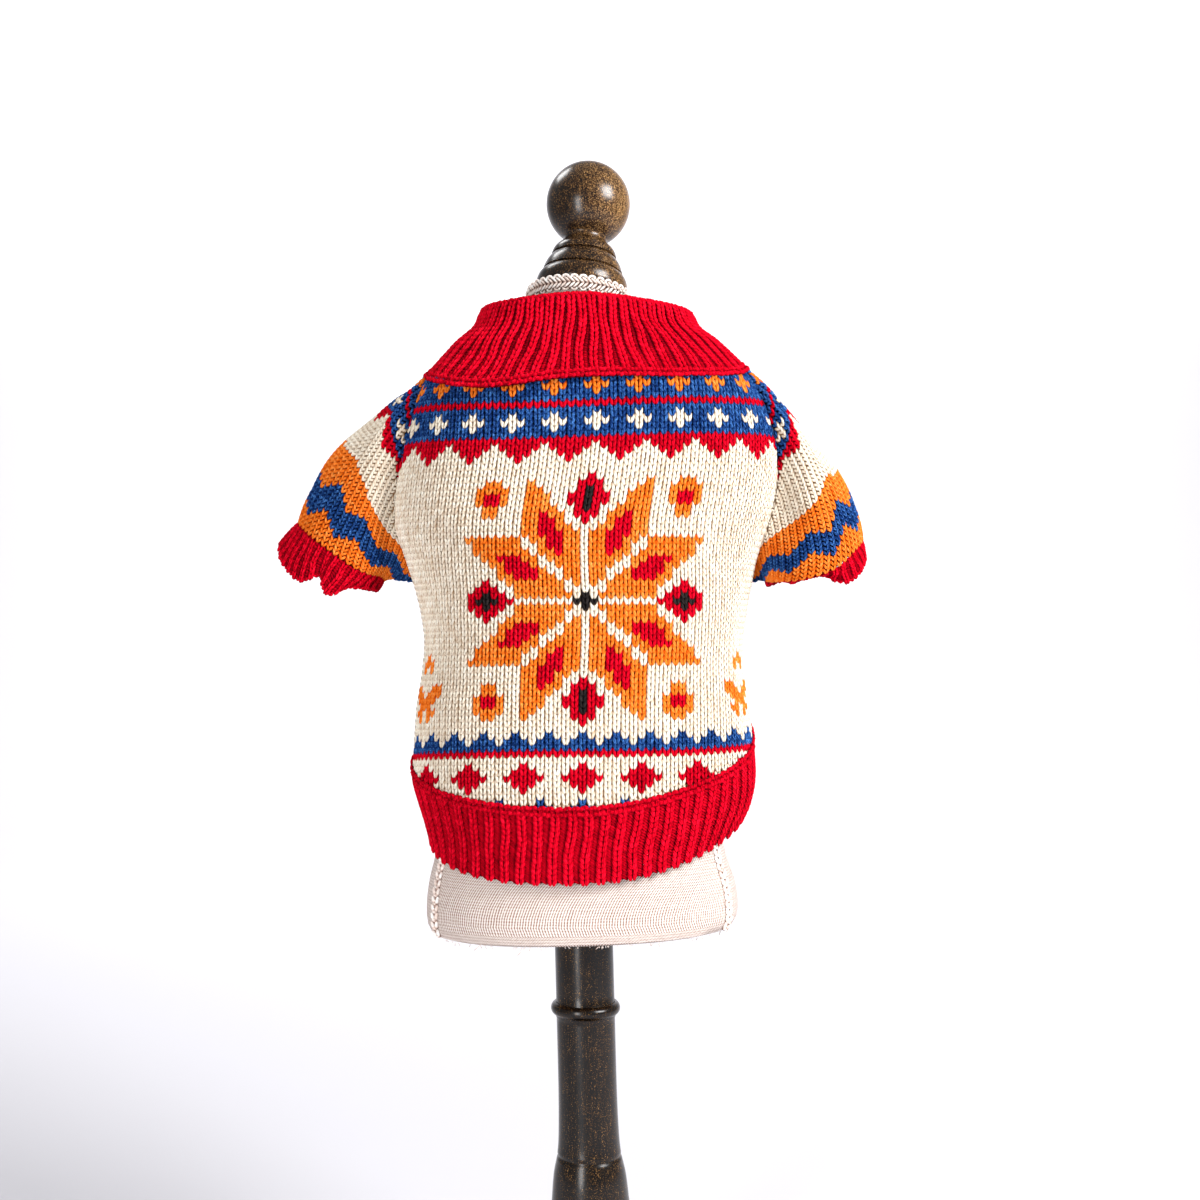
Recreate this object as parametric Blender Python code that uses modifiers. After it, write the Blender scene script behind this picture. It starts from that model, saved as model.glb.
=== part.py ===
"""Knitted raglan dog sweater, worn on a limbless dress form with a turned wooden stand.

Lengths are in millimetres and are turned to metres where a mesh is made. +Z is up, the decorated
panel faces -Y, and the origin is on the floor below the middle of the post. Angles round the
body are in degrees: 0 at +X, 90 at the back and 270 in front.
"""

import math
from collections import namedtuple

import bmesh
import bpy
from mathutils import Vector

MM = 0.001

# Cloth
WALL = 2.0
SEAM_GAP = 0.3
HALF_GAP = SEAM_GAP / 2
HEM_SEAM_ROOM = 0.28
SIDE_SEAM_ROOM = 0.25
PANEL_CREASE_ROOM = 0.9
SLEEVE_CREASE_ROOM = 1.65
SHOULDER_ROOM = 0.4
CUFF_CREASE_ROOM = 1.35
COLLAR_CREASE_ROOM = 0.7
BODY_ROUNDNESS = 2.3

# Levels of the sweater
UNDERARM = 506.0
COLLAR_SEAM_FRONT = 633.0
COLLAR_SEAM_BACK = 640.0
COLLAR_SEAM_LIFT = 9.5
COLLAR_LIFT_SHARPNESS = 16
HEM_SEAM_FRONT = 373.0
HEM_SEAM_RISE = 80.0
HEM_SEAM_SHARPNESS = 1.3
HEM_LOWEST_ANGLE = 258.0
HEM_HEIGHT = 45.5
HEM_SIDE_EXTRA = 3.0

# Sleeves and cuffs
SHOULDER_SHARE = 0.16
CUFF_LOBES = 5
CUFF_FLARE = 2.6
CUFF_WAVE = 2.6
CUFF_SCALLOP = 1.5
SLEEVE_FULLNESS = 0.8

# Facets
PANEL_COLUMNS = 20
RAGLAN_STEPS = 8
WAIST_STEPS = 8
SLEEVE_COLUMNS = 25
SLEEVE_STEPS = 9
CUFF_COLUMNS = 40
CUFF_STEPS = 3
COLLAR_COLUMNS = 44
COLLAR_STEPS = 5
HEM_COLUMNS = 48
HEM_STEPS = 4
FORM_COLUMNS = 36
TURNED_STEPS = 32

# Stand
BASE_RADIUS = 110.0
BASE_HEIGHT = 20.0
FORM_BOTTOM = 289.0
NECK_TOP = 700.0
NECK_RADIUS = 32.0
NECK_SHIFT = -4.4
FINIAL_SHIFT = -2.2
FINIAL_LEAN = 3.5
FINIAL_RADIUS = 29.0
BALL_RADIUS = 26.0
BALL_CENTRE = 57.2
BRAID_HEIGHT = 8.5
BRAID_THICKNESS = 2.2
SIDE_BRAID_WIDTH = 5.0
SIDE_BRAID_THICKNESS = 1.8
SIDE_BRAID_TOP = 590.0

Section = namedtuple("Section", "height width depth shift roundness", defaults=(BODY_ROUNDNESS,))
Raglan = namedtuple("Raglan", "down front back")
CollarStep = namedtuple("CollarStep", "up inward")
RingPoint = namedtuple("RingPoint", "round x y z")
Quarter = namedtuple("Quarter", "leaving arriving cuff length")

COLLAR_RIM = Section(686.0, 67.5, 51.0, 0.5)

# Middle of the sweater's cloth: half width, half depth and sideways shift at each height.
SWEATER = (
    Section(650, 100.0, 72.0, 1.5),
    Section(640, 106.0, 74.0, 2.0),
    Section(626, 114.0, 76.0, 2.5),
    Section(605, 121.0, 78.0, 3.0),
    Section(585, 124.0, 79.0, 2.0),
    Section(565, 123.5, 79.0, -0.5),
    Section(545, 120.0, 78.5, -3.0),
    Section(525, 112.0, 77.0, -3.0),
    Section(507, 107.0, 76.0, -2.0),
    Section(490, 103.5, 75.0, -1.5),
    Section(472, 101.5, 74.5, -1.5),
    Section(450, 103.0, 74.0, -2.0),
    Section(430, 106.0, 74.0, -2.0),
    Section(405, 108.0, 74.5, -1.6),
    Section(385, 108.5, 74.0, -1.4),
    Section(370, 105.0, 73.0, -0.8),
    Section(358, 100.5, 72.0, -1.6),
    Section(345, 96.0, 71.0, -3.0),
    Section(325, 94.0, 70.0, -3.4),
)

# Outside of the dress form.
FORM = (
    Section(FORM_BOTTOM, 95.5, 66.0, -4.4),
    Section(300, 96.8, 67.0, -4.2),
    Section(318, 95.5, 66.0, -3.9),
    Section(337, 92.0, 64.5, -3.9),
    Section(352, 90.8, 63.5, -3.8),
    Section(380, 91.0, 63.5, -3.4),
    Section(420, 92.5, 64.5, -2.8),
    Section(470, 94.0, 65.5, -2.0),
    Section(520, 98.0, 68.0, -1.5),
    Section(570, 104.0, 70.0, -1.0),
    Section(610, 106.0, 70.0, -1.0),
    Section(632, 104.5, 68.0, -1.0),
    Section(646, 97.5, 63.0, -1.0),
    Section(656, 80.0, 53.0, -2.5),
    Section(665, 61.0, 46.0, -3.5, 2.2),
    Section(674, 45.0, 40.0, NECK_SHIFT, 2.1),
    Section(684, 36.5, 35.5, NECK_SHIFT, 2.0),
    Section(693, NECK_RADIUS, NECK_RADIUS, NECK_SHIFT, 2.0),
    Section(NECK_TOP, NECK_RADIUS, NECK_RADIUS, NECK_SHIFT, 2.0),
)

# Where each raglan seam lies, in degrees from the side, by the part of its way down to the underarm.
RAGLAN = (
    Raglan(0.00, 15.0, 17.0),
    Raglan(0.19, 15.5, 20.0),
    Raglan(0.40, 14.5, 20.0),
    Raglan(0.60, 12.5, 18.0),
    Raglan(0.80, 11.0, 14.0),
    Raglan(0.91, 7.5, 9.0),
    Raglan(1.00, 0.0, 0.0),
)

# The collar's profile: the part of its way in at each part of its way up.
COLLAR = (
    CollarStep(0.0, 0.0),
    CollarStep(0.26, 0.27),
    CollarStep(0.51, 0.55),
    CollarStep(0.74, 0.86),
    CollarStep(1.0, 1.0),
)

# The end of each sleeve, from its outer end round the front to the body and back, by parts of the way.
SLEEVE_END_LEFT = (
    RingPoint(0.00, -185.0, -4.0, 550.0),
    RingPoint(0.10, -175.0, -25.0, 541.0),
    RingPoint(0.22, -160.0, -36.0, 530.0),
    RingPoint(0.33, -147.0, -37.0, 521.0),
    RingPoint(0.41, -138.0, -30.0, 517.0),
    RingPoint(0.47, -131.5, -17.0, 517.0),
    RingPoint(0.54, -132.0, -1.0, 506.0),
    RingPoint(0.63, -138.0, 14.0, 511.0),
    RingPoint(0.76, -153.0, 20.0, 525.0),
    RingPoint(0.90, -174.0, 15.0, 542.0),
)
SLEEVE_END_RIGHT = (
    RingPoint(0.00, 179.0, 0.0, 536.0),
    RingPoint(0.12, 173.0, -22.0, 523.0),
    RingPoint(0.24, 158.0, -31.0, 516.0),
    RingPoint(0.36, 140.0, -31.0, 513.5),
    RingPoint(0.46, 125.0, -21.0, 512.5),
    RingPoint(0.55, 118.0, -1.0, 514.0),
    RingPoint(0.65, 125.0, 18.0, 523.0),
    RingPoint(0.78, 146.0, 26.0, 534.0),
    RingPoint(0.91, 169.0, 19.0, 540.0),
)

# Directions of the knitting at the outer, front, inner and back quarters of each sleeve.
QUARTERS_LEFT = (
    Quarter((-0.84, 0.00, -0.54), (-0.22, 0.00, -0.97), (-0.60, 0.00, -0.80), 18.0),
    Quarter((-0.84, -0.28, -0.46), (-0.62, -0.05, -0.78), (-0.78, -0.12, -0.60), 18.0),
    Quarter((-0.98, 0.00, -0.10), (-0.98, 0.00, -0.10), (-0.98, 0.00, -0.02), 18.0),
    Quarter((-0.84, 0.28, -0.46), (-0.62, 0.05, -0.78), (-0.74, 0.20, -0.62), 17.0),
)
QUARTERS_RIGHT = (
    Quarter((0.74, 0.00, -0.67), (0.05, 0.05, -0.99), (-0.10, 0.05, -0.98), 17.0),
    Quarter((0.84, -0.28, -0.46), (0.25, 0.35, -0.90), (-0.05, 0.97, 0.06), 17.0),
    Quarter((0.98, 0.00, -0.05), (0.95, 0.15, -0.05), (0.70, 0.65, 0.02), 15.0),
    Quarter((0.84, 0.28, -0.46), (0.40, 0.10, -0.90), (0.05, -0.20, -0.97), 12.0),
)

Finish = namedtuple("Finish", "name colour roughness")
CREAM_KNIT = Finish("cream_knit", (0.86, 0.79, 0.67), 0.9)
RED_RIB = Finish("red_rib", (0.60, 0.01, 0.03), 0.9)
LINEN = Finish("linen", (0.78, 0.70, 0.62), 0.95)
GIMP = Finish("cotton_gimp", (0.84, 0.76, 0.70), 0.9)
DARK_WOOD = Finish("dark_wood", (0.030, 0.018, 0.012), 0.35)


# ---- Reading the tables ----


def smooth(rows, column, at):
    """A column of a table at a place in its first column, on a smooth curve through the rows."""
    ordered = sorted(rows)
    places = [row[0] for row in ordered]
    values = [getattr(row, column) for row in ordered]
    last = len(ordered) - 1
    at = min(max(at, places[0]), places[last])
    low = 0
    while low < last - 1 and places[low + 1] < at:
        low += 1
    span = places[low + 1] - places[low]
    part = (at - places[low]) / span

    def slope(index):
        before = max(index - 1, 0)
        after = min(index + 1, last)
        return (values[after] - values[before]) / (places[after] - places[before])

    start, end = values[low], values[low + 1]
    rise = slope(low) * span
    fall = slope(low + 1) * span
    cubic = part * part * (3 - 2 * part)
    ease_in = part * (1 - part) ** 2
    ease_out = part * part * (part - 1)
    return start + (end - start) * cubic + rise * ease_in + fall * ease_out


def round_point(section, angle):
    """The point of a rounded section at an angle."""
    turn = math.radians(angle)
    across = abs(math.cos(turn) / section.width) ** section.roundness
    through = abs(math.sin(turn) / section.depth) ** section.roundness
    radius = (across + through) ** (-1 / section.roundness)
    x = section.shift + radius * math.cos(turn)
    return Vector((x, radius * math.sin(turn), section.height))


def section_point(rows, angle, height):
    """The point of a table of sections at an angle and a height."""
    fields = ("width", "depth", "shift", "roundness")
    between = Section(height, *[smooth(rows, field, height) for field in fields])
    return round_point(between, angle)


def outward(rows, angle, height):
    """The direction straight out of a table of sections at an angle and a height."""
    round_it = section_point(rows, angle + 1, height) - section_point(rows, angle - 1, height)
    up_it = section_point(rows, angle, height + 1) - section_point(rows, angle, height - 1)
    return round_it.cross(up_it).normalized()


def collar_seam(angle):
    """Height of the seam between the body and the collar."""
    turn = math.radians(angle)
    middle = (COLLAR_SEAM_FRONT + COLLAR_SEAM_BACK) / 2
    tilt = (COLLAR_SEAM_BACK - COLLAR_SEAM_FRONT) / 2
    return middle + tilt * math.sin(turn) + COLLAR_SEAM_LIFT * math.cos(turn) ** COLLAR_LIFT_SHARPNESS


def hem_seam(angle):
    """Height of the seam between the body and the hem band, lowest in front and high at the belly."""
    half_turn = math.radians(angle - HEM_LOWEST_ANGLE) / 2
    return HEM_SEAM_FRONT + HEM_SEAM_RISE * (math.sin(half_turn) ** 2) ** HEM_SEAM_SHARPNESS


def hem_edge(angle):
    turn = math.radians(angle - HEM_LOWEST_ANGLE)
    return hem_seam(angle) - HEM_HEIGHT - HEM_SIDE_EXTRA * math.sin(turn) ** 2


# ---- Making meshes ----


def material(finish):
    made = bpy.data.materials.get(finish.name)
    if made is None:
        made = bpy.data.materials.new(finish.name)
        made.use_nodes = True
        shader = made.node_tree.nodes["Principled BSDF"]
        shader.inputs["Base Color"].default_value = (*finish.colour, 1.0)
        shader.inputs["Roughness"].default_value = finish.roughness
        shader.inputs["Metallic"].default_value = 0.0
    return made


def object_from(name, mesh, finish, collection):
    mesh.materials.append(material(finish))
    made = bpy.data.objects.new(name, mesh)
    collection.objects.link(made)
    return made


def quad_grid(rows, wrapped):
    """An open sheet of quads through rows of points, closed round each row if it is wrapped."""
    sheet = bmesh.new()
    points = [[sheet.verts.new(point * MM) for point in row] for row in rows]
    columns = len(rows[0])
    last = columns if wrapped else columns - 1
    for upper, lower in zip(points, points[1:]):
        for column in range(last):
            following = (column + 1) % columns
            corners = (upper[column], lower[column], lower[following], upper[following])
            sheet.faces.new(corners)
    return sheet


def cloth(name, rows, wrapped, finish, collection):
    """A wall of cloth whose middle passes through rows of points."""
    sheet = quad_grid(rows, wrapped)
    mesh = bpy.data.meshes.new(name)
    sheet.to_mesh(mesh)
    sheet.free()
    made = object_from(name, mesh, finish, collection)
    wall = made.modifiers.new("wall", "SOLIDIFY")
    wall.thickness = WALL * MM
    wall.offset = 0.0
    wall.use_even_offset = True
    mesh.shade_smooth()
    return made


def capped_loft(name, rows, finish, collection):
    """A closed solid through rings of points, from its lowest ring to its highest."""
    solid = quad_grid(rows, True)
    bmesh.ops.holes_fill(solid, edges=solid.edges, sides=0)
    bmesh.ops.recalc_face_normals(solid, faces=solid.faces)
    mesh = bpy.data.meshes.new(name)
    solid.to_mesh(mesh)
    solid.free()
    mesh.shade_smooth()
    mesh.set_sharp_from_angle(angle=math.radians(40))
    return object_from(name, mesh, finish, collection)


def turned(name, profile, finish, collection):
    """A turned solid from (radius, height) pairs that run from the top of its axis to the bottom."""
    outline = bmesh.new()
    points = [outline.verts.new(Vector((radius, 0, height)) * MM) for radius, height in profile]
    for first, second in zip(points, points[1:]):
        outline.edges.new((first, second))
    mesh = bpy.data.meshes.new(name)
    outline.to_mesh(mesh)
    outline.free()
    made = object_from(name, mesh, finish, collection)
    screw = made.modifiers.new("turning", "SCREW")
    screw.steps = TURNED_STEPS
    screw.render_steps = TURNED_STEPS
    screw.use_merge_vertices = True
    screw.merge_threshold = 0.0001
    screw.use_smooth_shade = True
    return made


# ---- Body panels ----


def edge_angle(face, part):
    """Degrees from the side to a panel's raglan edge, by the part of its way down to the underarm."""
    return smooth(RAGLAN, face, min(part, 1.0))


def side_degrees(length, height):
    """The degrees that a length takes up at the side of the body."""
    return math.degrees(length / smooth(SWEATER, "width", height))


def body_height(angle, level):
    """Height of a level: the collar seam at 0, the underarm at RAGLAN_STEPS, the hem seam at the end."""
    if level <= RAGLAN_STEPS:
        top = collar_seam(angle) - HALF_GAP
        return UNDERARM + (top - UNDERARM) * (1 - level / RAGLAN_STEPS)
    bottom = hem_seam(angle) + HEM_SEAM_ROOM
    return UNDERARM + (bottom - UNDERARM) * (level - RAGLAN_STEPS) / WAIST_STEPS


def panel(name, face, finish, collection):
    middle = 270.0 if face == "front" else 90.0
    rows = []
    for level in range(RAGLAN_STEPS + WAIST_STEPS + 1):
        part = level / RAGLAN_STEPS
        room = PANEL_CREASE_ROOM if part < 1.0 else SIDE_SEAM_ROOM
        inset = edge_angle(face, part) + side_degrees(room, body_height(0.0, level))
        row = []
        for column in range(PANEL_COLUMNS + 1):
            spread = 2 * column / PANEL_COLUMNS - 1
            angle = middle + spread * (90.0 - inset)
            row.append(section_point(SWEATER, angle, body_height(angle, level)))
        rows.append(row)
    return cloth(name, rows, False, finish, collection)


# ---- Sleeves ----


def armhole(side, fraction):
    """A point on the armhole: 0 at the shoulder, 0.5 at the underarm, and the front between them."""
    face = "front" if fraction <= 0.5 else "back"
    way = min(fraction, 1 - fraction)
    if way <= SHOULDER_SHARE:
        degrees = edge_angle(face, 0.0) * way / SHOULDER_SHARE
        part = 0.0
    else:
        part = (way - SHOULDER_SHARE) / (0.5 - SHOULDER_SHARE)
        degrees = edge_angle(face, part)
    if face == "front":
        degrees = -degrees
    angle = degrees if side > 0 else 180.0 - degrees
    return section_point(SWEATER, angle, body_height(angle, part * RAGLAN_STEPS))


def ring_point(ring, fraction):
    """A point on the end of a sleeve, on a smooth closed curve through its table."""
    closed = list(ring)
    for row in ring[-3:]:
        closed.append(row._replace(round=row.round - 1))
    for row in ring[:3]:
        closed.append(row._replace(round=row.round + 1))
    return Vector([smooth(closed, axis, fraction % 1.0) for axis in "xyz"])


def quarter_blend(quarters, field, fraction):
    """A value between the four quarters round a sleeve."""
    total = None
    for index, quarter in enumerate(quarters):
        weight = max(0.0, math.cos(2 * math.pi * (fraction - index / 4))) ** 2
        value = getattr(quarter, field)
        share = weight * (Vector(value) if field != "length" else value)
        total = share if total is None else total + share
    return total


def hermite(start, leaving, end, arriving, part):
    squared = part * part
    cubed = squared * part
    point = start * (2 * cubed - 3 * squared + 1)
    point += leaving * (cubed - 2 * squared + part)
    point += end * (3 * squared - 2 * cubed)
    point += arriving * (cubed - squared)
    return point


def sleeve(name, side, ring, quarters, finish, collection):
    rows = [[] for step in range(SLEEVE_STEPS + 1)]
    for column in range(SLEEVE_COLUMNS):
        fraction = column / SLEEVE_COLUMNS
        leaving = quarter_blend(quarters, "leaving", fraction).normalized()
        arriving = quarter_blend(quarters, "arriving", fraction).normalized()
        on_shoulder = min(fraction, 1 - fraction) < SHOULDER_SHARE
        room = SHOULDER_ROOM if on_shoulder else SLEEVE_CREASE_ROOM
        start = armhole(side, fraction) + leaving * room
        end = ring_point(ring, fraction) - arriving * HALF_GAP
        reach = (end - start).length * SLEEVE_FULLNESS
        for step in range(SLEEVE_STEPS + 1):
            part = step / SLEEVE_STEPS
            rows[step].append(hermite(start, leaving * reach, end, arriving * reach, part))
    return cloth(name, rows, True, finish, collection)


def cuff(name, ring, quarters, finish, collection):
    """A rib cuff that carries on from the end of the sleeve and opens into soft lobes."""
    centre = Vector((0, 0, 0))
    for row in ring:
        centre += Vector((row.x, row.y, row.z)) / len(ring)
    rows = [[] for step in range(CUFF_STEPS + 1)]
    for column in range(CUFF_COLUMNS):
        fraction = column / CUFF_COLUMNS
        along = quarter_blend(quarters, "cuff", fraction).normalized()
        length = quarter_blend(quarters, "length", fraction)
        start = ring_point(ring, fraction) + along * CUFF_CREASE_ROOM
        spread = start - centre
        spread = (spread - along * spread.dot(along)).normalized()
        wave = math.cos(2 * math.pi * CUFF_LOBES * fraction)
        for step in range(CUFF_STEPS + 1):
            part = step / CUFF_STEPS
            flare = part * part * (CUFF_FLARE + CUFF_WAVE * wave)
            drop = part * (length + CUFF_SCALLOP * wave)
            rows[step].append(start + along * drop + spread * flare)
    return cloth(name, rows, True, finish, collection)


# ---- Collar and hem ----


def collar(name, finish, collection):
    rows = []
    for step in range(COLLAR_STEPS, -1, -1):
        up = step / COLLAR_STEPS
        inward = smooth(COLLAR, "inward", up)
        row = []
        for column in range(COLLAR_COLUMNS):
            angle = 360.0 * column / COLLAR_COLUMNS
            foot = section_point(SWEATER, angle, collar_seam(angle))
            foot.z += COLLAR_CREASE_ROOM
            rim = round_point(COLLAR_RIM, angle)
            point = foot.lerp(rim, inward)
            point.z = foot.z + (rim.z - foot.z) * up
            row.append(point)
        rows.append(row)
    return cloth(name, rows, True, finish, collection)


def hem_band(name, finish, collection):
    rows = []
    for step in range(HEM_STEPS + 1):
        down = step / HEM_STEPS
        row = []
        for column in range(HEM_COLUMNS):
            angle = 360.0 * column / HEM_COLUMNS
            top = hem_seam(angle) - HEM_SEAM_ROOM
            row.append(section_point(SWEATER, angle, top + (hem_edge(angle) - top) * down))
        rows.append(row)
    return cloth(name, rows, True, finish, collection)


# ---- Dress form and stand ----


def form_heights():
    """The heights of the form's rings: each section and one ring between each two."""
    heights = [FORM[0].height]
    for lower, upper in zip(FORM, FORM[1:]):
        heights += [(lower.height + upper.height) / 2, upper.height]
    return heights


def torso_form(name, finish, collection):
    rows = []
    for height in form_heights():
        row = []
        for column in range(FORM_COLUMNS):
            angle = -360.0 * column / FORM_COLUMNS
            row.append(section_point(FORM, angle, height))
        rows.append(row)
    return capped_loft(name, rows, finish, collection)


def side_braid(name, angle, finish, collection):
    """A flat braid that lies on the side of the form, moved out from the form's own points."""
    clear = 0.5 * SIDE_BRAID_THICKNESS + SEAM_GAP
    rows = []
    for height in form_heights():
        if height > SIDE_BRAID_TOP:
            break
        half = math.degrees(0.5 * SIDE_BRAID_WIDTH / smooth(FORM, "width", height))
        row = []
        for turn in (angle - half, angle, angle + half):
            row.append(section_point(FORM, turn, height) + outward(FORM, turn, height) * clear)
        rows.append(row)
    made = cloth(name, rows, False, finish, collection)
    made.modifiers["wall"].thickness = SIDE_BRAID_THICKNESS * MM
    return made


def neck_braid(name, finish, collection):
    inner = NECK_RADIUS + 1.5 * SEAM_GAP
    outer = inner + BRAID_THICKNESS
    low = NECK_TOP - 5.0
    high = low + BRAID_HEIGHT
    profile = ((inner, high), (outer, high), (outer, low), (inner, low), (inner, high))
    made = turned(name, profile, finish, collection)
    made.location = Vector((NECK_SHIFT, 0, 0)) * MM
    return made


def arc(centre, radius, first, last, steps):
    """Points of a round stretch of a turned profile, by degrees above the level."""
    points = []
    for step in range(steps + 1):
        turn = math.radians(first + (last - first) * step / steps)
        points.append((radius * math.cos(turn), centre + radius * math.sin(turn)))
    return points


def finial(name, finish, collection):
    """A ball on a stepped cone, heights from the cone's underside; it leans a little to the right."""
    ball = [(0.0, BALL_CENTRE + BALL_RADIUS)]
    ball += arc(BALL_CENTRE, BALL_RADIUS, 78, -57, 10)
    cone = [(13.7, 34.5), (14.8, 32.0), (17.6, 28.4), (20.6, 23.6), (20.8, 21.6), (22.6, 20.8)]
    cone += [(24.2, 15.2), (24.4, 13.2), (26.2, 12.4), (28.0, 6.0), (FINIAL_RADIUS, 1.5)]
    cone += [(FINIAL_RADIUS - 0.6, 0.0), (0.0, 0.0)]
    made = turned(name, ball + cone, finish, collection)
    lean = math.radians(FINIAL_LEAN)
    lift = SEAM_GAP + FINIAL_RADIUS * math.sin(lean)
    made.location = Vector((FINIAL_SHIFT, 0, NECK_TOP + lift)) * MM
    made.rotation_euler = (0, lean, 0)
    return made


def post(name, finish, collection):
    top = FORM_BOTTOM - SEAM_GAP
    foot = BASE_HEIGHT + SEAM_GAP
    profile = [(0.0, top), (18.9, top), (18.9, 244.0), (20.5, 243.0)]
    profile += [(21.9, 240.0), (22.2, 237.0), (21.9, 234.0), (20.5, 231.0), (18.9, 230.0)]
    profile += [(18.9, 168.0), (19.6, 148.0), (20.6, 139.0), (20.2, 137.4), (21.4, 136.0)]
    profile += [(23.8, 124.0), (25.0, 111.0), (26.0, 98.0), (25.6, 84.0), (22.5, 66.0)]
    profile += [(20.5, 52.0), (21.5, 42.0), (27.0, 34.0), (33.0, 28.0), (34.0, foot), (0.0, foot)]
    return turned(name, profile, finish, collection)


def base_disc(name, finish, collection):
    rim = BASE_RADIUS - 6.0
    profile = [(0.0, BASE_HEIGHT), (60.0, BASE_HEIGHT), (rim - 16.0, BASE_HEIGHT - 3.0)]
    profile += [(rim, BASE_HEIGHT - 6.0), (BASE_RADIUS - 1.5, 10.0), (BASE_RADIUS, 6.0)]
    profile += [(BASE_RADIUS - 1.0, 1.5), (BASE_RADIUS - 3.0, 0.0), (0.0, 0.0)]
    return turned(name, profile, finish, collection)


def main():
    for old in list(bpy.data.objects):
        bpy.data.objects.remove(old, do_unlink=True)
    collection = bpy.data.collections.new("dog_sweater_on_dress_form")
    bpy.context.scene.collection.children.link(collection)

    base_disc("base_disc", DARK_WOOD, collection)
    post("post", DARK_WOOD, collection)
    torso_form("torso_form", LINEN, collection)
    side_braid("side_braid_left", 180.0, GIMP, collection)
    side_braid("side_braid_right", 0.0, GIMP, collection)
    neck_braid("neck_braid", GIMP, collection)
    finial("finial", DARK_WOOD, collection)

    panel("back_panel", "front", CREAM_KNIT, collection)
    panel("belly_panel", "back", CREAM_KNIT, collection)
    sleeve("sleeve_left", -1, SLEEVE_END_LEFT, QUARTERS_LEFT, CREAM_KNIT, collection)
    sleeve("sleeve_right", 1, SLEEVE_END_RIGHT, QUARTERS_RIGHT, CREAM_KNIT, collection)
    cuff("cuff_left", SLEEVE_END_LEFT, QUARTERS_LEFT, RED_RIB, collection)
    cuff("cuff_right", SLEEVE_END_RIGHT, QUARTERS_RIGHT, RED_RIB, collection)
    collar("collar", RED_RIB, collection)
    hem_band("hem_band", RED_RIB, collection)


main()
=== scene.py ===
# A knitted dog sweater on a linen dress form with a turned wooden stand.
# Lengths are in millimetres until a mesh is made; mm turns them to metres.
import math
from collections import namedtuple

import bmesh
import bpy
import numpy as np
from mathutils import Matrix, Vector


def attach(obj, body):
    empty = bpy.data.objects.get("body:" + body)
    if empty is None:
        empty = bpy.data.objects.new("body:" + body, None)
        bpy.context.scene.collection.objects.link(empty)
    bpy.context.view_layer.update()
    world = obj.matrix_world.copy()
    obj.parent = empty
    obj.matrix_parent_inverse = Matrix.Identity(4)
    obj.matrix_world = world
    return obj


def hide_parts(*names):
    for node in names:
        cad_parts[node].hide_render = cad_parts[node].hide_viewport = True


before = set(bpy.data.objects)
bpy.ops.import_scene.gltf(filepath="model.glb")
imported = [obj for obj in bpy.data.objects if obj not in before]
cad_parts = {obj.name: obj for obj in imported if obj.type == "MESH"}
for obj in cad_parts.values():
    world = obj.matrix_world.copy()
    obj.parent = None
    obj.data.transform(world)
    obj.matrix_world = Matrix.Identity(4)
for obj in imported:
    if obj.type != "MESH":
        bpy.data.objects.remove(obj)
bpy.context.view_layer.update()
mm = 0.001
dice = np.random.default_rng(7)


def srgb(text):
    parts = [int(text[at : at + 2], 16) / 255 for at in (1, 3, 5)]
    linear = [part / 12.92 if part <= 0.04045 else ((part + 0.055) / 1.055) ** 2.4 for part in parts]
    return (*linear, 1.0)


def addNode(material, kind, inputs=None, settings=None, output=0, stops=()):
    # inputs are numbers, colours or sockets to link from, settings are the node's own, stops are for a ramp
    node = material.node_tree.nodes.new("ShaderNode" + kind)
    for name, value in (settings or {}).items():
        setattr(node, name, value)
    for name, value in (inputs or {}).items():
        if isinstance(value, bpy.types.NodeSocket):
            material.node_tree.links.new(value, node.inputs[name])
        else:
            node.inputs[name].default_value = value
    if stops:
        elements = node.color_ramp.elements
        while len(elements) < len(stops):
            elements.new(0.5)
        for element, (place, colour) in zip(elements, stops):
            element.position = place
            element.color = srgb(colour)
    return node.outputs[output]


def newMaterial(name, fixed):
    material = bpy.data.materials.new(name)
    material.use_nodes = True
    for socket, value in fixed.items():
        material.node_tree.nodes["Principled BSDF"].inputs[socket].default_value = value
    return material


def coloured(material, colour, normal):
    shader = material.node_tree.nodes["Principled BSDF"]
    material.node_tree.links.new(colour, shader.inputs["Base Color"])
    material.node_tree.links.new(normal, shader.inputs["Normal"])
    return material


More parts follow.
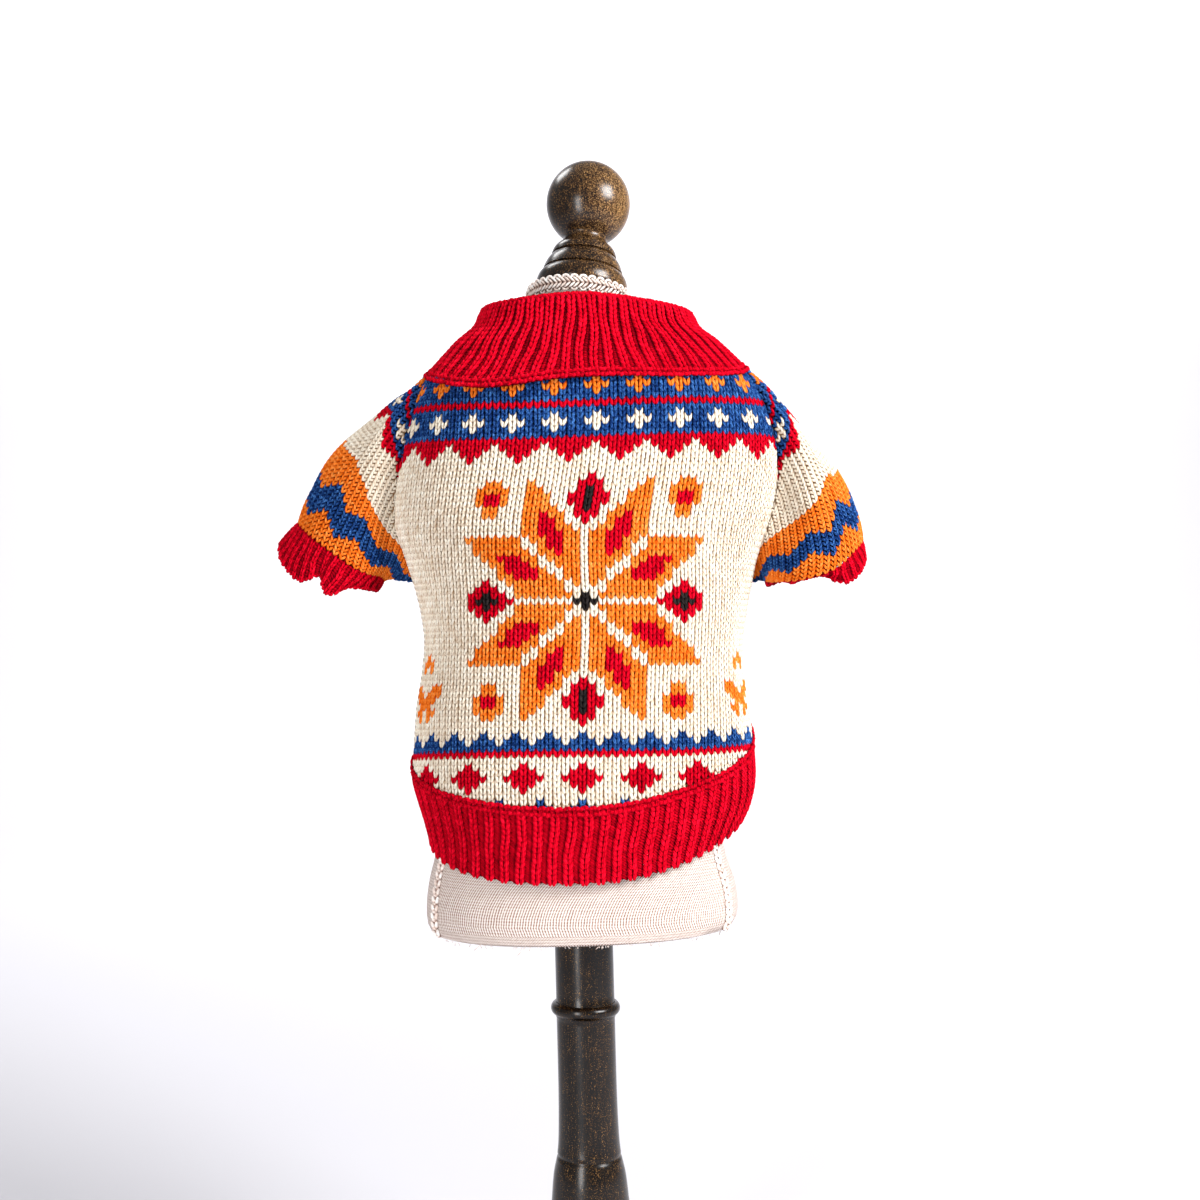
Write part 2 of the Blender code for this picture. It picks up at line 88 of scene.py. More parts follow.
def acrylicYarn(name, dark, middle, light, fleck=0.5, plyShade=0.16):
    # spun acrylic, two-ply and slightly hairy: matt, with darker grooves between the plies as painted shade
    # and the plies lighter as painted highlight
    material = newMaterial(name, {"Roughness": 0.88, "Specular IOR Level": 0.03})
    place = addNode(material, "TexCoord", output="Object")
    tone = addNode(material, "Attribute", settings={"attribute_name": "tone"}, output="Fac")
    strand = addNode(material, "UVMap", settings={"uv_map": "strand"})
    grooves = (6 * 2 * math.pi, 3 * 2 * math.pi, 0.0)  # six round the strand, three turns along it
    turns = addNode(material, "VectorMath", {0: strand, 1: grooves}, {"operation": "DOT_PRODUCT"}, "Value")
    plies = addNode(material, "Math", {0: turns}, {"operation": "SINE"})
    fibres = addNode(material, "TexNoise", {"Vector": place, "Scale": 1 / (0.6 * mm), "Detail": 2.0})
    clouds = addNode(material, "TexNoise", {"Vector": place, "Scale": 1 / (14 * mm), "Detail": 2.0})
    # each strand's random tone and its painted shade where it dips under the next one are read per vertex and
    # added here
    shade = -0.08 - fleck / 2
    for value, weight in ((fibres, fleck), (plies, plyShade), (clouds, 0.16), (tone, 1.0)):
        shade = addNode(material, "Math", {0: value, 1: weight, 2: shade}, {"operation": "MULTIPLY_ADD"})
    colour = addNode(material, "ValToRGB", {"Fac": shade}, stops=((0.08, dark), (0.5, middle), (0.85, light)))
    relief = addNode(material, "Math", {0: fibres, 1: 0.6, 2: plies}, {"operation": "MULTIPLY_ADD"})
    bump = addNode(material, "Bump", {"Strength": 0.7, "Distance": 0.3 * mm, "Height": relief})
    return coloured(material, colour, bump)


def wovenLinen(name):
    # unbleached linen plain weave: uneven slubby threads 1.7 mm apart, the small gaps between them darkened
    # as painted shade
    pitch = 1.7  # the real threads are about 1.45 mm apart, too fine to show without flickering
    material = newMaterial(name, {"Roughness": 0.9, "Sheen Weight": 0.05, "Specular IOR Level": 0.15})
    place = addNode(material, "UVMap", settings={"uv_map": "weave"})
    waver = {"Vector": place, "Scale": 1 / (12 * mm), "Detail": 2.0}
    bent = addNode(material, "TexNoise", waver, output="Color")
    bent = addNode(material, "VectorMath", {0: bent, "Scale": 1.4 * mm}, {"operation": "SCALE"})
    thread = addNode(material, "VectorMath", {0: place, 1: bent}, {"operation": "ADD"})
    fibres = addNode(material, "TexNoise", {"Vector": place, "Scale": 1 / (1.0 * mm), "Detail": 3.0})
    weave = addNode(material, "Math", {0: fibres, 1: 1.7}, {"operation": "MULTIPLY"})
    # warp and weft: which way it is counted, how its slubs are stretched, how deep it is, in relief and in
    # the painted shade of its gaps
    for way, stretch, deep in (((1, 0, 0), (1.0, 0.06, 1.0), 0.9), ((0, 1, 0), (0.06, 1.0, 1.0), 0.32)):
        count = tuple(axis * 2 * math.pi / (pitch * mm) for axis in way)
        turns = addNode(material, "VectorMath", {0: thread, 1: count}, {"operation": "DOT_PRODUCT"}, "Value")
        rounded = addNode(material, "Math", {0: turns}, {"operation": "COSINE"})
        stretched = addNode(material, "Mapping", {"Vector": place, "Scale": stretch})
        slub = addNode(material, "TexNoise", {"Vector": stretched, "Scale": 1 / (1.5 * mm), "Detail": 2.0})
        for value, weight in ((slub, 0.7), (rounded, deep)):
            weave = addNode(material, "Math", {0: value, 1: weight, 2: weave}, {"operation": "MULTIPLY_ADD"})
    level = addNode(material, "Math", {0: weave, 1: 0.3, 2: 0.05}, {"operation": "MULTIPLY_ADD"})
    stops = ((0.2, "#7c5a4a"), (0.37, "#ad9587"), (0.52, "#cabdb6"), (0.8, "#e0d7d2"))
    colour = addNode(material, "ValToRGB", {"Fac": level}, stops=stops)
    bump = addNode(material, "Bump", {"Strength": 0.3, "Distance": 0.3 * mm, "Height": weave})
    return coloured(material, colour, bump)


def cottonGimp(name, shades):
    # mercerised cotton cord: smooth, pinkish ecru, with a fine twist
    material = newMaterial(name, {"Roughness": 0.7, "Sheen Weight": 0.3, "Specular IOR Level": 0.35})
    place = addNode(material, "TexCoord", output="Object")
    mottle = addNode(material, "TexNoise", {"Vector": place, "Scale": 1 / (2.5 * mm), "Detail": 3.0})
    # read per vertex: each strand's random tone and its painted shade where it dips under the next one
    tone = addNode(material, "Attribute", settings={"attribute_name": "tone"}, output="Fac")
    shade = addNode(material, "Math", {0: mottle, 1: 0.4, 2: tone}, {"operation": "MULTIPLY_ADD"})
    colour = addNode(material, "ValToRGB", {"Fac": shade}, stops=tuple(zip((0.3, 0.6, 0.8), shades)))
    strand = addNode(material, "UVMap", settings={"uv_map": "strand"})
    twist = addNode(material, "Mapping", {"Vector": strand, "Rotation": (0, 0, math.radians(35))})
    bands = {"wave_type": "BANDS", "bands_direction": "Y"}
    plies = addNode(material, "TexWave", {"Vector": twist, "Scale": 1.2, "Distortion": 0.3}, bands, "Fac")
    bump = addNode(material, "Bump", {"Strength": 0.6, "Distance": 0.3 * mm, "Height": plies})
    return coloured(material, colour, bump)


def stainedBeech(name, shades, gloss, rubbed, middle, side):
    # turned beech, stained near black, rubbed through to a bronze wax in fine specks and varnished semi-gloss
    material = newMaterial(name, {"Roughness": 0.25, "Specular IOR Level": gloss})
    place = addNode(material, "TexCoord", output="Object")
    along = addNode(material, "Mapping", {"Vector": place, "Scale": (1.0, 1.0, 0.09)})
    # it is rubbed more towards one side of its middle, partly real wear and partly painted light: lighter and
    # more bronze on the side the key lamp lights
    away = -sum(where * way for where, way in zip(middle, side))
    towardsLitSide = addNode(material, "VectorMath", {0: place, 1: side}, {"operation": "DOT_PRODUCT"}, "Value")
    wearAndPaintedLight = addNode(material, "Math", {0: towardsLitSide, 1: away + rubbed}, {"operation": "ADD"})
    # specks, grain and soft clouds: where each is read, its size, detail and weight
    layers = ((place, 0.45, 1.0, 1.7), (along, 1.1, 3.0, 0.5), (place, 14.0, 2.0, 0.16))
    for where, size, detail, weight in layers:
        noise = addNode(material, "TexNoise", {"Vector": where, "Scale": 1 / (size * mm), "Detail": detail})
        wearAndPaintedLight = addNode(material, "Math", {0: noise, 1: weight, 2: wearAndPaintedLight}, {"operation": "MULTIPLY_ADD"})
    halved = addNode(material, "Math", {0: wearAndPaintedLight, 1: 0.5}, {"operation": "MULTIPLY"})
    stops = tuple(zip((0.38, 0.47, 0.54, 0.62), shades))
    colour = addNode(material, "ValToRGB", {"Fac": halved}, stops=stops)
    bump = addNode(material, "Bump", {"Strength": 0.12, "Distance": 0.1 * mm, "Height": halved})
    return coloured(material, colour, bump)


# dark, middle and light of each yarn, how flecked it is, and the painted shade deep between its stitches,
# given to the cloth under them
yarn = namedtuple("yarn", "dark middle light fleck deep")
palette = {
    "cream": yarn("#bd9a76", "#fdf1dd", "#fffef6", 0.2, "#8a6c4c"),
    "orange": yarn("#cc4206", "#ff801e", "#ffba68", 0.5, "#641c04"),
    "blue": yarn("#050d24", "#163c80", "#5c9ae4", 1.0, "#02050e"),
    "red": yarn("#66000f", "#d4001b", "#ff1438", 0.5, "#5c000c"),
    "black": yarn("#0c0a0b", "#242020", "#453d3b", 0.6, "#070606"),
}
yarnNames = list(palette)
yarns, paintedShadeYarns = {}, {}
for key, shades in palette.items():
    yarns[key] = acrylicYarn(key + "AcrylicYarnSpun", shades.dark, shades.middle, shades.light, shades.fleck)
    # the cloth under the stitches gets a darker copy of each yarn as painted shade
    paintedShadeYarns[key] = acrylicYarn(key + "AcrylicYarnInside", shades.deep, shades.deep, shades.dark, 0.6, 0.0)
linen = wovenLinen("ecruLinenPlainWeave")
gimp = cottonGimp("ecruCottonGimpBraided", ("#9c7a6a", "#ecd9ce", "#fffdfa"))
# a darker copy of the same cord, as painted shade, for the cords and band lying under the strands
gimpShaded = cottonGimp("ecruCottonGimpFoundation", ("#7d6053", "#9a7a6b", "#b59484"))
poleShades = ("#050302", "#100904", "#543719", "#b48a50")
finialShades = ("#0c0907", "#22170e", "#6e4824", "#c09660")
ballMiddle = (0.0, 0.0, 0.757)
poleWood = stainedBeech("stainedBeechPoleTurned", poleShades, 0.34, -0.42, (0.0, 0.0, 0.2), (0.8, 0.0, 0.0))
finialWood = stainedBeech("stainedBeechFinialTurned", finialShades, 0.34, -0.32, ballMiddle, (5.5, 0.0, 0.8))
print("materials made")

# a slice across the sweater or the form: half its width and depth, how far it is shifted, how square it is
section = namedtuple("section", "height width depth shift roundness", defaults=(2.3,))
# down from the collar to the underarm, degrees from the side line to the front and back raglan seams
raglan = namedtuple("raglan", "down front back")
# up the collar, how far in it has come towards the rim
collarStep = namedtuple("collarStep", "up inward")
# a place round a sleeve's end, 0 at its outer line and 0.5 under the arm
ringPoint = namedtuple("ringPoint", "round x y z")
# at four places round a sleeve, the ways it leaves the armhole and comes to its end
quarter = namedtuple("quarter", "leaving arriving")

body = {
    "underarm": 513.0,
    "collarFront": 633.0,
    "collarBack": 640.0,
    "collarLift": 9.5,
    "rightHigher": 4.2,  # how far the collar seam climbs at the right
    "yokeRight": 5.0,  # and the rows of the yoke
    "yokeCorners": 3.0,  # how far the yoke's outer stitches are pulled up
    "hemFront": 373.0,
    "hemRise": 80.0,
    "hemLowest": 258.0,
    "hemHeight": 45.5,
    "hemSideExtra": 3.0,
    "shoulderShare": 0.16,  # part of the armhole each side of the outer line that follows the collar seam
    "seamRoom": 0.1,  # left free beside each seam
    "wale": 5.1,  # width of a stitch
    "course": 3.67,  # height of a row
    "sleeveCourse": 3.25,
}
sweaterSections = (
    section(650, 100.0, 72.0, 1.5),
    section(640, 106.0, 74.0, 2.0),
    section(626, 114.0, 76.0, 2.5),
    section(605, 121.0, 78.0, 3.0),
    section(585, 124.0, 79.0, 2.0),
    section(565, 123.5, 79.0, -0.5),
    section(545, 120.0, 78.5, -3.0),
    section(525, 112.0, 77.0, -3.0),
    section(507, 107.0, 76.0, -2.0),
    section(490, 103.5, 75.0, -1.5),
    section(472, 101.5, 74.5, -1.5),
    section(450, 103.0, 74.0, -2.0),
    section(430, 106.0, 74.0, -2.0),
    section(405, 108.0, 74.5, -1.6),
    section(385, 108.5, 74.0, -1.4),
    section(370, 105.0, 73.0, -0.8),
    section(358, 100.5, 72.0, -1.6),
    section(345, 96.0, 71.0, -3.0),
    section(325, 94.0, 70.0, -3.4),
)
collarRim = section(686.0, 67.5, 51.0, 0.5)
formSections = (
    section(289, 93.8, 64.6, -2.8),
    section(292, 97.6, 66.6, -2.6),
    section(300, 100.4, 67.0, -2.4),
    section(318, 99.0, 66.0, -2.6),
    section(337, 93.6, 64.5, -3.4),
    section(352, 91.2, 63.5, -3.6),
    section(380, 91.0, 63.5, -3.4),
    section(420, 92.5, 64.5, -2.8),
    section(470, 94.0, 65.5, -2.0),
    section(520, 98.0, 68.0, -1.5),
    section(570, 104.0, 70.0, -1.0),
    section(610, 106.0, 70.0, -1.0),
    section(632, 104.5, 68.0, -1.0),
    section(646, 97.5, 63.0, -1.0),
    section(656, 80.0, 53.0, -2.5),
    section(665, 61.0, 46.0, -3.5, 2.2),
    section(674, 45.0, 40.0, -4.4, 2.1),
    section(684, 36.5, 35.5, -4.4, 2.0),
    section(693, 32.0, 32.0, -4.4, 2.0),
    section(700, 32.0, 32.0, -4.4, 2.0),
)
raglanSeams = (
    raglan(0.00, 15.0, 17.0),
    raglan(0.19, 15.5, 20.0),
    raglan(0.40, 14.5, 20.0),
    raglan(0.60, 12.5, 18.0),
    raglan(0.80, 11.0, 14.0),
    raglan(0.91, 7.5, 9.0),
    raglan(1.00, 0.0, 0.0),
)
collarSteps = (
    collarStep(0.0, 0.0),
    collarStep(0.26, 0.27),
    collarStep(0.51, 0.55),
    collarStep(0.74, 0.86),
    collarStep(1.0, 1.0),
)
leftEnd = (
    ringPoint(0.00, -185.0, -4.0, 550.0),
    ringPoint(0.10, -175.0, -25.0, 541.0),
    ringPoint(0.22, -160.0, -36.0, 530.0),
    ringPoint(0.33, -147.0, -37.0, 521.0),
    ringPoint(0.41, -138.5, -30.0, 517.0),
    ringPoint(0.47, -133.0, -17.0, 516.0),
    ringPoint(0.54, -132.0, -1.0, 513.5),
    ringPoint(0.63, -138.0, 14.0, 516.0),
    ringPoint(0.76, -153.0, 20.0, 527.0),
    ringPoint(0.90, -174.0, 15.0, 542.0),
)
rightEnd = (
    ringPoint(0.00, 178.4, 0.0, 540.0),
    ringPoint(0.12, 169.5, -21.0, 530.0),
    ringPoint(0.24, 157.0, -30.0, 519.5),
    ringPoint(0.36, 140.0, -31.0, 513.5),
    ringPoint(0.46, 125.0, -21.0, 512.5),
    ringPoint(0.55, 118.0, -1.0, 514.0),
    ringPoint(0.65, 125.0, 18.0, 523.0),
    ringPoint(0.78, 146.0, 26.0, 534.0),
    ringPoint(0.91, 168.0, 19.0, 541.0),
)
leftQuarters = (
    quarter((-0.84, 0.00, -0.54), (-0.22, 0.00, -0.97)),
    quarter((-0.84, -0.28, -0.46), (-0.62, -0.05, -0.78)),
    quarter((-0.98, 0.00, -0.10), (-0.98, 0.00, -0.10)),
    quarter((-0.84, 0.28, -0.46), (-0.62, 0.05, -0.78)),
)
rightQuarters = (
    quarter((0.74, 0.00, -0.67), (0.05, 0.05, -0.99)),
    quarter((0.84, -0.28, -0.46), (0.25, 0.35, -0.90)),
    quarter((0.98, 0.00, -0.05), (0.95, 0.15, -0.05)),
    quarter((0.84, 0.28, -0.46), (0.40, 0.10, -0.90)),
)


def readTable(rows, column, at):
    # one column of a table on a smooth curve, read at places in the table's first column
    ordered = sorted(rows)
    places = np.array([row[0] for row in ordered], float)
    values = np.array([getattr(row, column) for row in ordered], float)
    index = np.arange(len(places))
    before = np.maximum(index - 1, 0)
    after = np.minimum(index + 1, len(places) - 1)
    slopes = (values[after] - values[before]) / (places[after] - places[before])
    at = np.clip(at, places[0], places[-1])
    low = np.clip(np.searchsorted(places, at) - 1, 0, len(places) - 2)
    span = places[low + 1] - places[low]
    part = (at - places[low]) / span
    rise = (values[low + 1] - values[low]) * part * part * (3 - 2 * part)
    easeIn = slopes[low] * span * part * (1 - part) ** 2
    easeOut = slopes[low + 1] * span * part * part * (part - 1)
    return values[low] + rise + easeIn + easeOut


def rising(value, start, end):
    # 0 before the start, 1 past the end and even between them
    return np.clip((value - start) / (end - start), 0, 1)


def oval(angle, width, depth, roundness):
    turn = np.radians(angle)
    across, through = np.cos(turn), np.sin(turn)
    radius = (np.abs(across / width) ** roundness + np.abs(through / depth) ** roundness) ** (-1 / roundness)
    return radius * across, radius * through


def sectionPoint(rows, angle, height):
    width, depth, shift, roundness = [readTable(rows, column, height) for column in section._fields[1:]]
    x, y = oval(angle, width, depth, roundness)
    crooked = 0.026 * (shift + x) - 1.0  # the form's lower edge falls to the left
    return np.stack([shift + x, y, height + crooked * rising(height, 330, 291)], -1)


def rimPoint(angle):
    x, y = oval(angle, collarRim.width, collarRim.depth, collarRim.roundness)
    return np.stack([collarRim.shift + x, y, np.full_like(x, collarRim.height)], -1)


def towardsRight(angle):
    return rising(np.cos(np.radians(angle)), -0.5, 1)


def collarSeam(angle):
    turn = np.radians(angle)
    middle = (body["collarFront"] + body["collarBack"]) / 2
    tilt = (body["collarBack"] - body["collarFront"]) / 2
    level = middle + tilt * np.sin(turn) + body["collarLift"] * np.cos(turn) ** 16
    return level + body["rightHigher"] * towardsRight(angle)


def hemSeam(angle):
    halfTurn = np.radians(angle - body["hemLowest"]) / 2
    return body["hemFront"] + body["hemRise"] * (np.sin(halfTurn) ** 2) ** 1.3


def hemEdge(angle):
    turn = np.radians(angle - body["hemLowest"])
    return hemSeam(angle) - body["hemHeight"] - body["hemSideExtra"] * np.sin(turn) ** 2


def length(vectors):
    return np.sqrt((vectors**2).sum(-1))


def unit(vectors):
    return vectors / np.maximum(length(vectors), 1e-9)[..., None]


def addedUp(points):
    # running length along the last line of points
    steps = length(np.diff(points, axis=-2))
    return np.concatenate([np.zeros(steps.shape[:-1] + (1,)), np.cumsum(steps, -1)], -1)


def finished(name, mesh, materials, replaced=()):
    for material in materials:
        mesh.materials.append(material)
    piece = bpy.data.objects.new(name, mesh)
    bpy.context.scene.collection.objects.link(piece)
    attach(piece, "root")
    if replaced:
        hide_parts(*replaced)
    return piece


def gridMesh(name, points, colours=None, uvName=None, uvs=None):
    # a sheet of quads laid over an array of points; cells pinched shut at a seam are left out
    pinchedArea = 0.3
    rows, columns = points.shape[0] - 1, points.shape[1] - 1
    sheet = bmesh.new()
    bmesh.ops.create_grid(sheet, x_segments=columns, y_segments=rows, size=0.5)
    uvLayer = sheet.loops.layers.uv.new(uvName) if uvName else None

    def placeOf(vertex):
        return round((0.5 - vertex.co.y) * rows), round((vertex.co.x + 0.5) * columns)

    pinched = []
    for face in sheet.faces:
        middle = face.calc_center_median()
        column = int((middle.x + 0.5) * columns)
        row = int((0.5 - middle.y) * rows)
        if colours is not None:
            face.material_index = colours[row][column]
        if uvLayer:
            for loop in face.loops:
                loop[uvLayer].uv = uvs[placeOf(loop.vert)]
        falling = points[row + 1, column + 1] - points[row, column]
        climbing = points[row, column + 1] - points[row + 1, column]
        if length(np.cross(falling, climbing)) < pinchedArea:
            pinched.append(face)
    for vertex in sheet.verts:
        vertex.co = Vector(points[placeOf(vertex)]) * mm
    bmesh.ops.delete(sheet, geom=pinched, context="FACES")
    bmesh.ops.remove_doubles(sheet, verts=sheet.verts, dist=0.02 * mm)
    bmesh.ops.dissolve_degenerate(sheet, edges=sheet.edges, dist=0.02 * mm)
    mesh = bpy.data.meshes.new(name)
    sheet.to_mesh(mesh)
    sheet.free()
    mesh.shade_smooth()
    return mesh


def grainTemplate(sides, rings):
    # one visible stretch of yarn, a slim grain along z
    grain = bmesh.new()
    grain.loops.layers.uv.new("strand")
    bmesh.ops.create_uvsphere(grain, u_segments=sides, v_segments=rings, radius=1.0, calc_uvs=True)
    for vertex in grain.verts:
        flat = math.hypot(vertex.co.x, vertex.co.y)
        if flat > 1e-6:
            swell = flat**0.9 / flat
            vertex.co.x *= swell
            vertex.co.y *= swell
    layer = grain.loops.layers.uv.active
    grain.verts.index_update()
    points = np.array([vertex.co[:] for vertex in grain.verts])
    faces = [[vertex.index for vertex in face.verts] for face in grain.faces]
    uvs = np.array([loop[layer].uv[:] for face in grain.faces for loop in face.loops])
    grain.free()
    return points, faces, uvs


plainGrain = grainTemplate(5, 4)
coarseGrain = grainTemplate(4, 4)  # for the side that is seldom seen, and for sunk purl bars


def strands(name, template, centres, halves, outs, widths, heights, slots, materials, slot, tonesAndShade=0.5):
    # copies of a grain joined into one mesh: halves run from each centre to its end, outs point off the cloth
    points, faces, uvs = template
    count = len(centres)
    along = unit(halves)
    side = unit(np.cross(outs, along))
    out = np.cross(along, side)
    x, y, z = points.T
    vertices = centres[:, None] + halves[:, None] * z[None, :, None]
    vertices += side[:, None] * (x[None, :] * widths[:, None] / 2)[..., None]
    vertices += out[:, None] * (y[None, :] * heights[:, None] / 2)[..., None]
    corners = np.concatenate([np.array(face) for face in faces])
    sizes = np.array([len(face) for face in faces])
    mesh = bpy.data.meshes.new(name)
    allCorners = (corners[None] + np.arange(count)[:, None] * len(points)).ravel()
    allSizes = np.tile(sizes, count)
    ends = np.cumsum(allSizes)
    allFaces = np.split(allCorners, ends[:-1])
    mesh.from_pydata((vertices.reshape(-1, 3) * mm).tolist(), [], [face.tolist() for face in allFaces])
    mesh.polygons.foreach_set("material_index", np.repeat(np.asarray(slots, np.int32), len(faces)))
    tiled = np.tile(uvs, (count, 1)).astype(np.float32)
    mesh.uv_layers.new(name="strand").uv.foreach_set("vector", tiled.ravel())
    across = math.ceil(math.sqrt(count))
    corner = np.stack([np.arange(count) % across, np.arange(count) // across], -1) / across
    atlas = corner[:, None] + (0.08 + 0.84 * uvs[None]) / across
    mesh.uv_layers.new(name="OFBake").uv.foreach_set("vector", atlas.astype(np.float32).ravel())
    # painted shade: darker where a strand dips under the next one, on its underside and at its lower end,
    # added per vertex to each strand's random tone
    paintedLapShade = -0.4 * rising(z, 0.2, 1) - 0.3 * np.clip(-y, 0, 1) - 0.16 * rising(-z, 0.6, 1)
    shade = np.broadcast_to(tonesAndShade, count)[:, None] + dice.normal(0, 0.06, (count, 1)) + paintedLapShade[None]
    tone = mesh.attributes.new("tone", "FLOAT", "POINT")
    tone.data.foreach_set("value", shade.astype(np.float32).ravel())
    mesh.shade_smooth()
    return finished(name, mesh, materials)


stitchCells = namedtuple("stitchCells", "centre across up out keep")


def cellsOf(grid):
    # a grid has two points to each stitch each way; its first row is the top
    centre = grid[1::2, 1::2]
    across = grid[1::2, 2::2] - grid[1::2, :-2:2]
    up = grid[:-2:2, 1::2] - grid[2::2, 1::2]
    keep = (length(across) > 0.2 * body["wale"]) & (length(up) > 0.35 * body["course"])
    return stitchCells(centre, across, up, unit(np.cross(across, up)), keep)


# how far the legs of a stitch lean, how many rows they reach over and how wide each is
legShape = namedtuple("legShape", "lean reach width")
bodyLegs = legShape(0.3, 1.7, 0.41)
sleeveLegs = legShape(0.5, 1.5, 0.35)


def stitchLegs(centre, across, up, out, lean, reach, spread=0.25, lift=0.55):
    # the two legs of each stitch, leaning out at the top, their lower ends in front
    centres, halves = [], []
    for hand in (-1, 1):
        jitter = dice.normal(0, 0.018, (len(centre), 2))
        shift = across * (hand * spread + jitter[:, :1]) + up * jitter[:, 1:]
        centres.append(centre + shift + out * lift)
        tilt = hand * lean / 2 + dice.normal(0, 0.02, (len(centre), 1))
        halves.append(up * reach / 2 + across * tilt - out * 0.5)
    return np.concatenate(centres), np.concatenate(halves)


def uneven(size, count):
    return size * dice.uniform(0.93, 1.07, count)


def stitches(name, template, legs, cells, rowsPicked, colours):
    chosen = cells.keep & rowsPicked[:, None]
    rows, columns = np.nonzero(chosen)
    centre, across, up, out = [values[chosen] for values in cells[:4]]
    centres, halves = stitchLegs(centre, across, up, out, legs.lean, legs.reach)
    wide = np.clip(length(across), 2.6, 5.6)
    widths = uneven(np.tile(wide * legs.width, 2), 2 * len(wide))
    heights = uneven(2.1, 2 * len(wide))
    slots = np.tile([colours[row][column] for row, column in zip(rows, columns)], 2)
    materials = [yarns[key] for key in yarnNames]
    outs = np.tile(out, (2, 1))
    return strands(name, template, centres, halves, outs, widths, heights, slots, materials, "cream_knit")


def thinCloth(name, mesh, materials, replaced, thickness=1.1):
    piece = finished(name, mesh, materials, replaced)
    wall = piece.modifiers.new("wall", "SOLIDIFY")
    wall.thickness = thickness * mm
    wall.offset = -1.0  # inwards, under the stitches
    return piece


def yokeColour(row, column):
    # rows down from the collar: two rows of sprigs on blue, a red line, and red teeth
    sprig = abs((column + 2) % 5 - 2)
    tooth = abs((column + 3) % 6 - 3)
    if row in (0, 1, 2):
        return "orange" if sprig == 0 or (row == 1 and sprig == 1) else "blue"
    if row in (6, 7, 8):
        return "cream" if sprig == 0 or (row == 7 and sprig == 1) else "blue"
    if row < 0 or row in (3, 5, 9):
        return "blue"
    if row in (4, 10):
        return "red"
    if row in (11, 12, 13):
        return "cream" if tooth <= row - 11 else "red"
    return None


def hemColour(row, column):
    # rows down from the collar: blue zigzag, red line, red diamonds on cream, blue tips
    tip = abs((column + 2) % 4 - 2)
    diamond = abs((column + 3) % 7 - 3)
    if row in (58, 59, 60):
        return "blue" if tip <= (row - 58) * 1.5 or row == 60 else "cream"
    if row == 61:
        return "red"
    if 63 <= row <= 67:
        return "red" if diamond <= 2 - abs(row - 65) else "cream"
    if row >= 69:
        return "blue" if abs((column + 2) % 5 - 2) <= row - 69 else "cream"
    return None


flowerChart = (
    "...X...",
    "..XXX..",
    "..X.X..",
    ".......",
    ".......",
    "XX...XX",
    "XXX.XXX",
    ".XXXXX.",
    "..XXX..",
    ".XX.XX.",
    "..X.X..",
)
flower = {"firstRow": 45, "column": 22, "chart": flowerChart}
star = {"row": 36, "squash": 0.72, "petal": 7.3}


def starColour(row, column):
    # an eight-petalled knitting star with red hearts, and small diamonds in its notches
    x, y = abs(column), abs(row - star["row"]) * star["squash"]
    low, high = min(x, y), max(x, y)
    petal = star["petal"]
    if x + y <= 1.2:
        return "black"
    inPetal = 0.6 <= low <= petal and low + 0.75 <= high <= low + petal
    if inPetal:
        heart = 2.6 <= low <= petal - 1.6 and 2.4 <= high - low <= petal - 1.9
        return "red" if heart else "orange"
    notch = abs(high - (petal + 4.6)) + low
    if notch <= 1.2:
        return "black"
    if notch <= 2.9:
        return "red"
    corner = abs(x - 11.5) + abs(y - 11.9)
    if corner <= 0.9:
        return "red"
    if corner <= 2.6:
        return "orange"
    return None


def flowerColour(row, column):
    down = row - flower["firstRow"]
    over = abs(column) - flower["column"] + 3
    if 0 <= down < len(flower["chart"]) and 0 <= over < 7 and flower["chart"][down][over] == "X":
        return "orange"
    return None


def backColour(row, column):
    bands = yokeColour(row, column) or hemColour(row, column)
    return bands or flowerColour(row, column) or starColour(row, column) or "cream"


def bellyColour(row, column):
    return yokeColour(row, column) or hemColour(row, column) or "cream"


def sleeveColour(fromCuff, column, fromCollar, sleeve):
    zig = abs(column % 6 - 3)
    blueRows = sleeve["blueRows"]
    if fromCuff < 3 + zig:
        return "orange"
    if fromCuff < 3 + blueRows + zig:
        return "blue"
    if fromCuff < 16 + sleeve["bow"] * max(0.0, 1 - abs(column) / 11):
        return "orange"
    return yokeColour(fromCollar, column) or "cream"


def panelLimit(face, height):
    # degrees from the panel's middle to its raglan edge or side seam
    inset = np.full(np.shape(height), 15.0)
    for _ in range(4):
        side = 360.0 - inset if face == "front" else inset
        top = collarSeam(side)
        part = np.clip(1 - (height - body["underarm"]) / (top - body["underarm"]), 0, 1)
        inset = readTable(raglanSeams, face, part)
    room = np.degrees(body["seamRoom"] / readTable(sweaterSections, "width", height))
    return 90.0 - inset - room


fineSteps = 241  # places on each line of cloth before its stitches are set out evenly
hiddenRows = 3  # rows above the first that show only where the collar seam climbs


